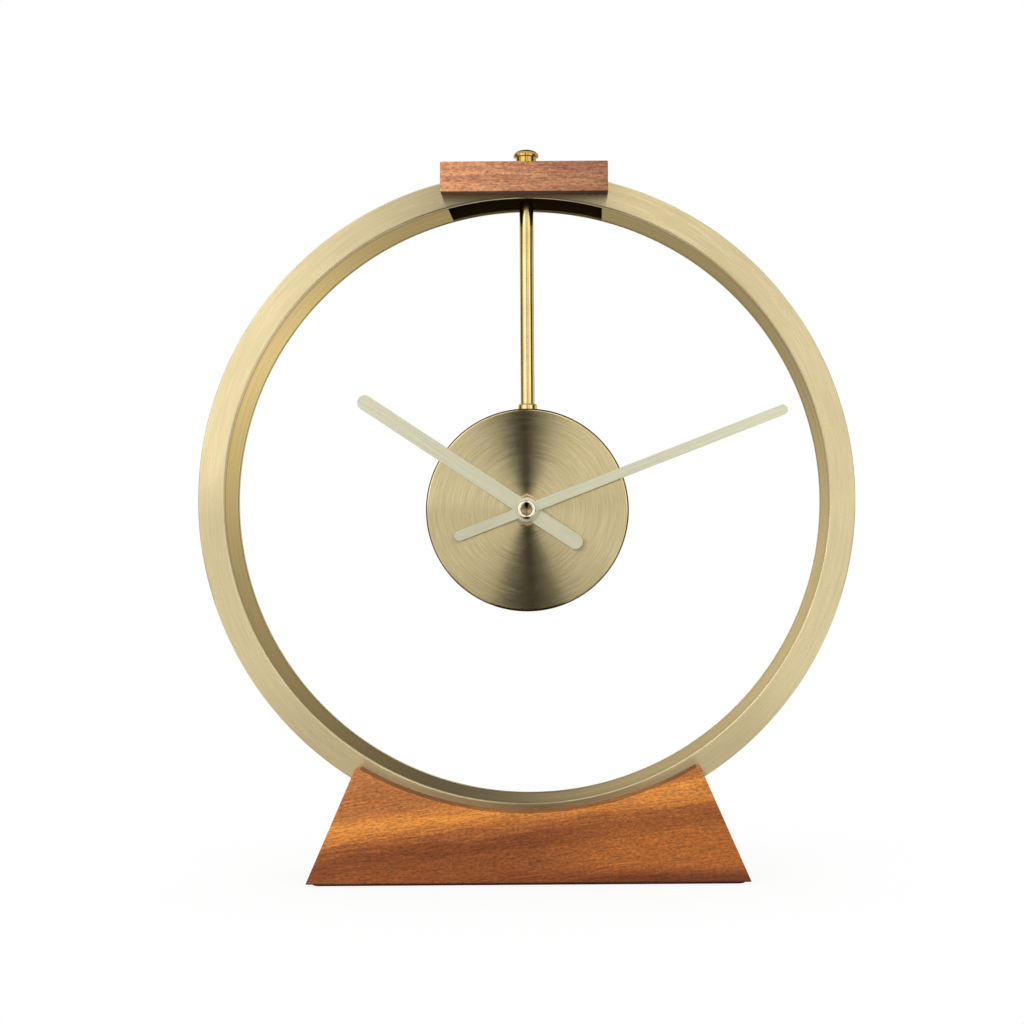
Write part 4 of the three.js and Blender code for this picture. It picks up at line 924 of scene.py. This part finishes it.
def make_lock_nut():
    """The nut and washer inside the channel."""
    hole, radius, bottom, top = 3.3, 8, 320.88, 321.88
    washer = ring(hole, radius, bottom, top, [(1, 0.2), (2, 0.2)])
    piece = as_object("lock_washer_turned", washer)
    finish(piece, "frame", "steel", ["lock_washer"])
    piece = as_object("lock_nut_hexagon", hexagon(LOCK_NUT_FLATS, 316.18, 320.78))
    work(piece, [("DIFFERENCE", disc(3.1, 315, 322, 48))], 0.35, 2)
    finish(piece, "frame", "steel", ["lock_nut"])


# The drum

def make_drum():
    """The drum: the dial face and the wall in one, with a rounded edge."""
    front, back = -DRUM_HALF_DEPTH, DRUM_HALF_DEPTH
    behind = front + 2
    points = [
        (NECK_HOLE, front), (DRUM_RADIUS, front), (DRUM_RADIUS, back), (DRUM_INNER, back),
        (DRUM_INNER, behind), (NECK_HOLE, behind),
    ]
    eased = [(0, 0.15), (1, 1.2), (2, 0.25), (3, 0.25)]
    shape = turned(points, eased, 256, at(0, 0, DIAL_Z, ALONG_Y))
    piece = as_object("drum", shape)
    wrap_map(piece, DIAL_Z, DRUM_RADIUS)
    finish(piece, "frame", "dial brass", ["drum_shell"])


def make_rear_cover():
    """The rear cover with its window and the hole for the knob."""
    place = at(0, 0, DIAL_Z, ALONG_Y)
    shape = disc(COVER_RADIUS, COVER_FRONT, DRUM_HALF_DEPTH, 192, place)
    piece = as_object("back_cover", shape)
    side, bottom, top = 26.55, 142.14, 158.94
    corners = [(-side, bottom), (side, bottom), (side, top), (-side, top)]
    front, back = 10, 16
    window = prism(corners, back - front, at(0, front, 0), [(0, 2), (1, 2), (2, 2), (3, 2)])
    knob_hole = disc(6, front, back, 64, at(KNOB_X, 0, KNOB_Z, ALONG_Y))
    work(piece, [("DIFFERENCE", window), ("DIFFERENCE", knob_hole)], 0.25, 2)
    wrap_map(piece, DIAL_Z, DRUM_RADIUS)
    finish(piece, "frame", "dial brass", ["rear_cover"])


def make_rear_screws():
    """Three pan-head screws with a straight slot."""
    shank, head = 0.95, 2.1
    for number in (1, 2, 3):
        low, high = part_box(f"rear_screw_{number}")
        tip, top = low.y / MM, high.y / MM
        under = top - 1.2
        points = [(0, tip), (shank, tip), (shank, under), (head, under), (head, top), (0, top)]
        turn = Matrix.Rotation(math.radians(50 * number), 4, "Y") @ ALONG_Y
        place = at((low.x + high.x) / 2 / MM, 0, (low.z + high.z) / 2 / MM, turn)
        piece = as_object(f"cover_screw_{number}", turned(points, [(4, 0.6)], 48, place))
        slot = block((-3, -0.28, top - 0.6), (3, 0.28, top + 1))
        slot.transform(place)
        work(piece, [("DIFFERENCE", slot)], 0)
        finish(piece, "frame", "steel", [f"rear_screw_{number}"])


def make_shaft_nut():
    """The washer and the hexagon nut that hold the movement to the dial."""
    place = at(0, 0, DIAL_Z, ALONG_Y)
    hole, radius, front, back = 4.0, 7, -13.75, -13.35
    washer = ring(hole, radius, front, back, [(1, 0.12)], 96, place)
    piece = as_object("dial_washer", washer)
    finish(piece, "frame", "pale brass", ["shaft_washer"])
    piece = as_object("dial_nut", hexagon(SHAFT_NUT_FLATS, -16.25, -13.85, place))
    work(piece, [("DIFFERENCE", disc(NECK_HOLE, -17, -13, 64, place))], 0.3, 2)
    finish(piece, "frame", "pale brass", ["shaft_nut"])


# The hands and what turns with them

def round_bar(length, tail, width, thickness):
    """A flat bar with round ends along Y, from the tail to the tip."""
    half = width / 2
    bm = bmesh.new()
    bmesh.ops.create_circle(bm, cap_ends=True, radius=half, segments=64)
    bmesh.ops.rotate(bm, verts=bm.verts, matrix=Matrix.Rotation(math.pi / 64, 3, "Z"))
    tip_end = [v for v in bm.verts if v.co.y > 0]
    tail_end = [v for v in bm.verts if v.co.y < 0]
    bmesh.ops.translate(bm, verts=tip_end, vec=(0, length - half, 0))
    bmesh.ops.translate(bm, verts=tail_end, vec=(0, half - tail, 0))
    push_out(bm, (0, 0, thickness))
    return bm


def make_hand(name, body, node, angle, length, tail, width):
    """A flat hand with round ends, a round hub and eased edges."""
    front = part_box(node)[0].y / MM
    back = front + HAND_THICKNESS
    turn = Matrix.Rotation(math.radians(angle), 4, "Y")
    bar = round_bar(length, tail, width, HAND_THICKNESS)
    bar.transform(at(0, back, DIAL_Z, turn @ Matrix.Rotation(math.radians(90), 4, "X")))
    piece = as_object(name, bar)
    hub = disc(HUB_RADIUS, front, back, 96, at(0, 0, DIAL_Z, ALONG_Y))
    work(piece, [("UNION", hub)], 0.16, 2)
    along = Vector((math.sin(math.radians(angle)), 0, math.cos(math.radians(angle))))
    length_map(piece, along)
    finish(piece, body, "champagne", [node])


def make_hub_cap():
    """The cap on the hands' hub, with a dished front and a rounded edge."""
    low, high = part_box("hand_cap")
    front, back = low.y / MM, high.y / MM
    radius, edge, dish, deep = 4.3, 0.9, 3.1, 1.2
    points = [(0, front + deep)]
    for step in range(1, 11):
        share = step / 10
        points.append((dish * share, front + deep * (1 - share ** 2)))
    for step in range(9):
        angle = math.pi / 2 * step / 8
        points.append(
            (radius - edge * (1 - math.sin(angle)), front + edge * (1 - math.cos(angle)))
        )
    points += [(radius, back), (0, back)]
    piece = as_object("hub_cap", turned(points, [], 64, at(0, 0, DIAL_Z, ALONG_Y)))
    finish(piece, "minute", "pale nickel", ["hand_cap"], 50)


def make_hands():
    """The hour hand behind the minute hand, and the cap on their hub."""
    make_hand("long_hand", "minute", "minute_hand", MINUTE_ANGLE, 127.8, 35.3, 4.7)
    make_hand("short_hand", "hour", "hour_hand", HOUR_ANGLE, 92.5, 29.9, 6.9)
    make_hub_cap()


def make_setting_knob():
    """The fluted knob that sets the hands."""
    low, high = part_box("setting_knob")
    place = at(KNOB_X, 0, KNOB_Z, ALONG_Y)
    radius, flutes, flute_depth = 5, 12, 0.55
    shape = disc(radius, low.y / MM, high.y / MM, 144, place, (flutes, flute_depth))
    piece = as_object("hand_setter", shape)
    work(piece, [], 0.25, 2)
    finish(piece, "setting", "white plastic", ["setting_knob"])


def make_battery():
    """The AA cell with its nub."""
    low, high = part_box("battery")
    left, right = low.x / MM, high.x / MM
    can, nub, shoulder = 7.1, 2.75, right - 1.2
    middle = (0, (low.y + high.y) / 2 / MM, (low.z + high.z) / 2 / MM)
    points = [(0, left), (can, left), (can, shoulder), (nub, shoulder), (nub, right), (0, right)]
    eased = [(1, 0.6), (2, 0.6), (4, 0.3)]
    piece = as_object("aa_cell", turned(points, eased, 96, at(*middle, ALONG_X)))
    finish(piece, "cell", "cell", ["battery"])


# The studio

def seen_directly(b):
    """1 for rays from the camera and from reflections, and 0 for the soft light between things."""
    rays = b.add("ShaderNodeLightPath").outputs
    seen = b.calc("MAXIMUM", rays["Is Camera Ray"], rays["Is Glossy Ray"])
    return b.calc("MAXIMUM", seen, rays["Is Transmission Ray"])


def make_floor():
    """A round pale floor that fades into the white around it and keeps a soft shadow."""
    bm = bmesh.new()
    bmesh.ops.create_circle(bm, cap_ends=True, radius=0.6, segments=96)
    mesh = bpy.data.meshes.new("floor")
    bm.to_mesh(mesh)
    bm.free()
    floor = bpy.data.objects.new("floor", mesh)
    bpy.context.scene.collection.objects.link(floor)
    made, b, shader = new_finish("floor_paper")
    shader.inputs["Roughness"].default_value = 0.9
    shader.inputs["Specular IOR Level"].default_value = 0.0
    glow = b.add("ShaderNodeEmission", {"Color": (1, 1, 1, 1), "Strength": 1.0})
    seen = seen_directly(b)
    b.feed(shader.inputs["Base Color"], b.blend(seen, (0.55, 0.55, 0.55, 1), (1, 1, 1, 1)))
    fade = b.spread(b.length(b.place()), 0.1, 0.3, 0.86, 1.0)
    share = b.calc("MULTIPLY", fade, seen)
    mix = b.add("ShaderNodeMixShader", {0: share, 1: shader.outputs[0], 2: glow.outputs[0]})
    out = made.node_tree.nodes["Material Output"]
    b.feed(out.inputs["Surface"], mix.outputs[0])
    mesh.materials.append(made)


def make_world():
    """White for the camera and for reflections, and a sky that is softer below for the rest."""
    world = bpy.data.worlds.new("studio")
    bpy.context.scene.world = world
    world.use_nodes = True
    b = Bench(world.node_tree)
    background = world.node_tree.nodes["Background"]
    height = b.parts(b.add("ShaderNodeTexCoord").outputs["Generated"])[2]
    soft = b.spread(height, -0.3, 0.5, 0.1, 1.0)
    b.feed(background.inputs["Strength"], b.calc("MAXIMUM", seen_directly(b), soft))
    background.inputs["Color"].default_value = (1, 1, 1, 1)


def make_lamp(name, place, target, width, height, radiance):
    """A large soft panel that faces the clock."""
    light = bpy.data.lights.new(name, "AREA")
    light.shape = "RECTANGLE"
    light.size = width
    light.size_y = height
    light.energy = radiance * math.pi * width * height
    lamp = bpy.data.objects.new(name, light)
    bpy.context.scene.collection.objects.link(lamp)
    aim = Vector(target) - Vector(place)
    lamp.location = place
    lamp.rotation_euler = aim.to_track_quat("-Z", "Y").to_euler()
    lamp.visible_camera = False


def hide_from_view(card):
    """Leaves a card of the studio to reflections alone."""
    card.visible_camera = False
    card.visible_diffuse = False
    card.visible_shadow = False


def make_card(name, corners, place, tone):
    """A flat card that only reflections see."""
    card = as_object(name, prism(corners, 4, place))
    made, b, shader = new_finish(name)
    shader.inputs["Base Color"].default_value = (0, 0, 0, 1)
    shader.inputs["Specular IOR Level"].default_value = 0.0
    shader.inputs["Emission Color"].default_value = (*tone, 1)
    shader.inputs["Emission Strength"].default_value = 1.0
    card.data.materials.append(made)
    hide_from_view(card)


def make_backdrop():
    """A backdrop that only reflections see, lit more on some sides than on others."""
    bm = bmesh.new()
    bmesh.ops.create_circle(bm, cap_ends=True, radius=7, segments=96)
    bm.transform(Matrix.Translation((0, 2.6, HOOP_Z * MM)) @ ALONG_Y)
    bm.transform(Matrix.Scale(1 / MM, 4))
    card = as_object("backdrop", bm)
    made, b, shader = new_finish("backdrop")
    shader.inputs["Base Color"].default_value = (0, 0, 0, 1)
    shader.inputs["Specular IOR Level"].default_value = 0.0
    across, depth, up = b.parts(b.place(z=HOOP_Z))
    turn = b.vector(up, across)
    share = b.add("ShaderNodeTexGradient", {0: turn}, gradient_type="RADIAL").outputs["Fac"]
    ramp = b.add("ShaderNodeValToRGB", {0: share})
    stops = ramp.color_ramp.elements
    stops.remove(stops[1])
    for number, (angle, tone) in enumerate(BACKDROP_TONES):
        place = (angle / 360 + 0.5) % 1.0
        stop = stops[0] if number == 0 else stops.new(place)
        stop.position = place
        stop.color = (tone, tone * 0.98, tone * 0.93, 1)
    b.feed(shader.inputs["Emission Color"], ramp.outputs[0])
    shader.inputs["Emission Strength"].default_value = 1.0
    card.data.materials.append(made)
    hide_from_view(card)


def make_studio():
    """The floor, the white around it, two panels, dark cards and a backdrop."""
    make_floor()
    make_world()
    make_lamp("left_panel", (-0.95, -1.3, 0.8), (0, 0, 0.17), 1.3, 1.2, 1.0)
    make_lamp("right_panel", (1.2, -1.25, 0.6), (0, 0, 0.17), 0.9, 1.0, 0.7)
    dark = (0.006, 0.005, 0.003)
    lean = Matrix.Rotation(math.radians(-2), 4, "Y")
    gap = [(-60, -900), (60, -900), (60, 2600), (-60, 2600)]
    make_card("dark_gap", gap, at(-48, -1240, 170, lean), dark)
    bright = [(70, 80), (180, 80), (370, 1330), (170, 1330)]
    make_card("bright_strip", bright, at(0, -1235, 170), (2.0, 1.95, 1.85))
    strip = [(-75, -35), (65, -35), (48, -400), (45, -1240), (-135, -1240), (-75, -400)]
    make_card("dark_floor", strip, at(0, 0, 5, ALONG_Y), dark)
    wide = [(-170, -60), (170, -60), (300, -700), (-380, -700)]
    make_card("grey_floor", wide, at(0, 0, 0.5, ALONG_Y), (0.55, 0.52, 0.46))
    sideways = Matrix.Rotation(math.radians(90), 4, "Z")
    for name, front, back, x in (("dark_right", -450, 100, 900), ("dark_left", -50, 500, -900)):
        side = [(front, -250), (back, -250), (back, 800), (front, 800)]
        make_card(name, side, at(x, 0, 0, sideways), (0.05, 0.045, 0.035))
    make_backdrop()


def make_camera():
    """The camera at the photograph's place and angle, with the frame shifted as it is cropped."""
    lens = bpy.data.cameras.new("camera")
    lens.sensor_width = 36
    lens.lens = FOCAL_PIXELS / FRAME_PIXELS * lens.sensor_width
    lens.shift_x = 0.5 - CENTRE_ACROSS / FRAME_PIXELS
    lens.shift_y = CENTRE_DOWN / FRAME_PIXELS - 0.5
    lens.clip_start = 0.05
    camera = bpy.data.objects.new("camera", lens)
    bpy.context.scene.collection.objects.link(camera)
    level = Matrix.Rotation(math.radians(90), 4, "X")
    roll = Matrix.Rotation(math.radians(-CAMERA_ROLL), 4, "Z")
    camera.matrix_world = at(*CAMERA_PLACE, level @ roll)
    bpy.context.scene.camera = camera


def make_clock():
    """Every piece of the clock."""
    make_hoop()
    make_cover_strip()
    make_foot()
    make_foot_pad()
    make_top_block()
    make_rod()
    make_collar()
    make_dome_nut()
    make_lock_nut()
    make_drum()
    make_rear_cover()
    make_rear_screws()
    make_shaft_nut()
    make_hands()
    make_setting_knob()
    make_battery()
    dress_carried_nodes()


make_camera()
make_clock()
make_studio()
bpy.context.scene.view_settings.view_transform = "Standard"
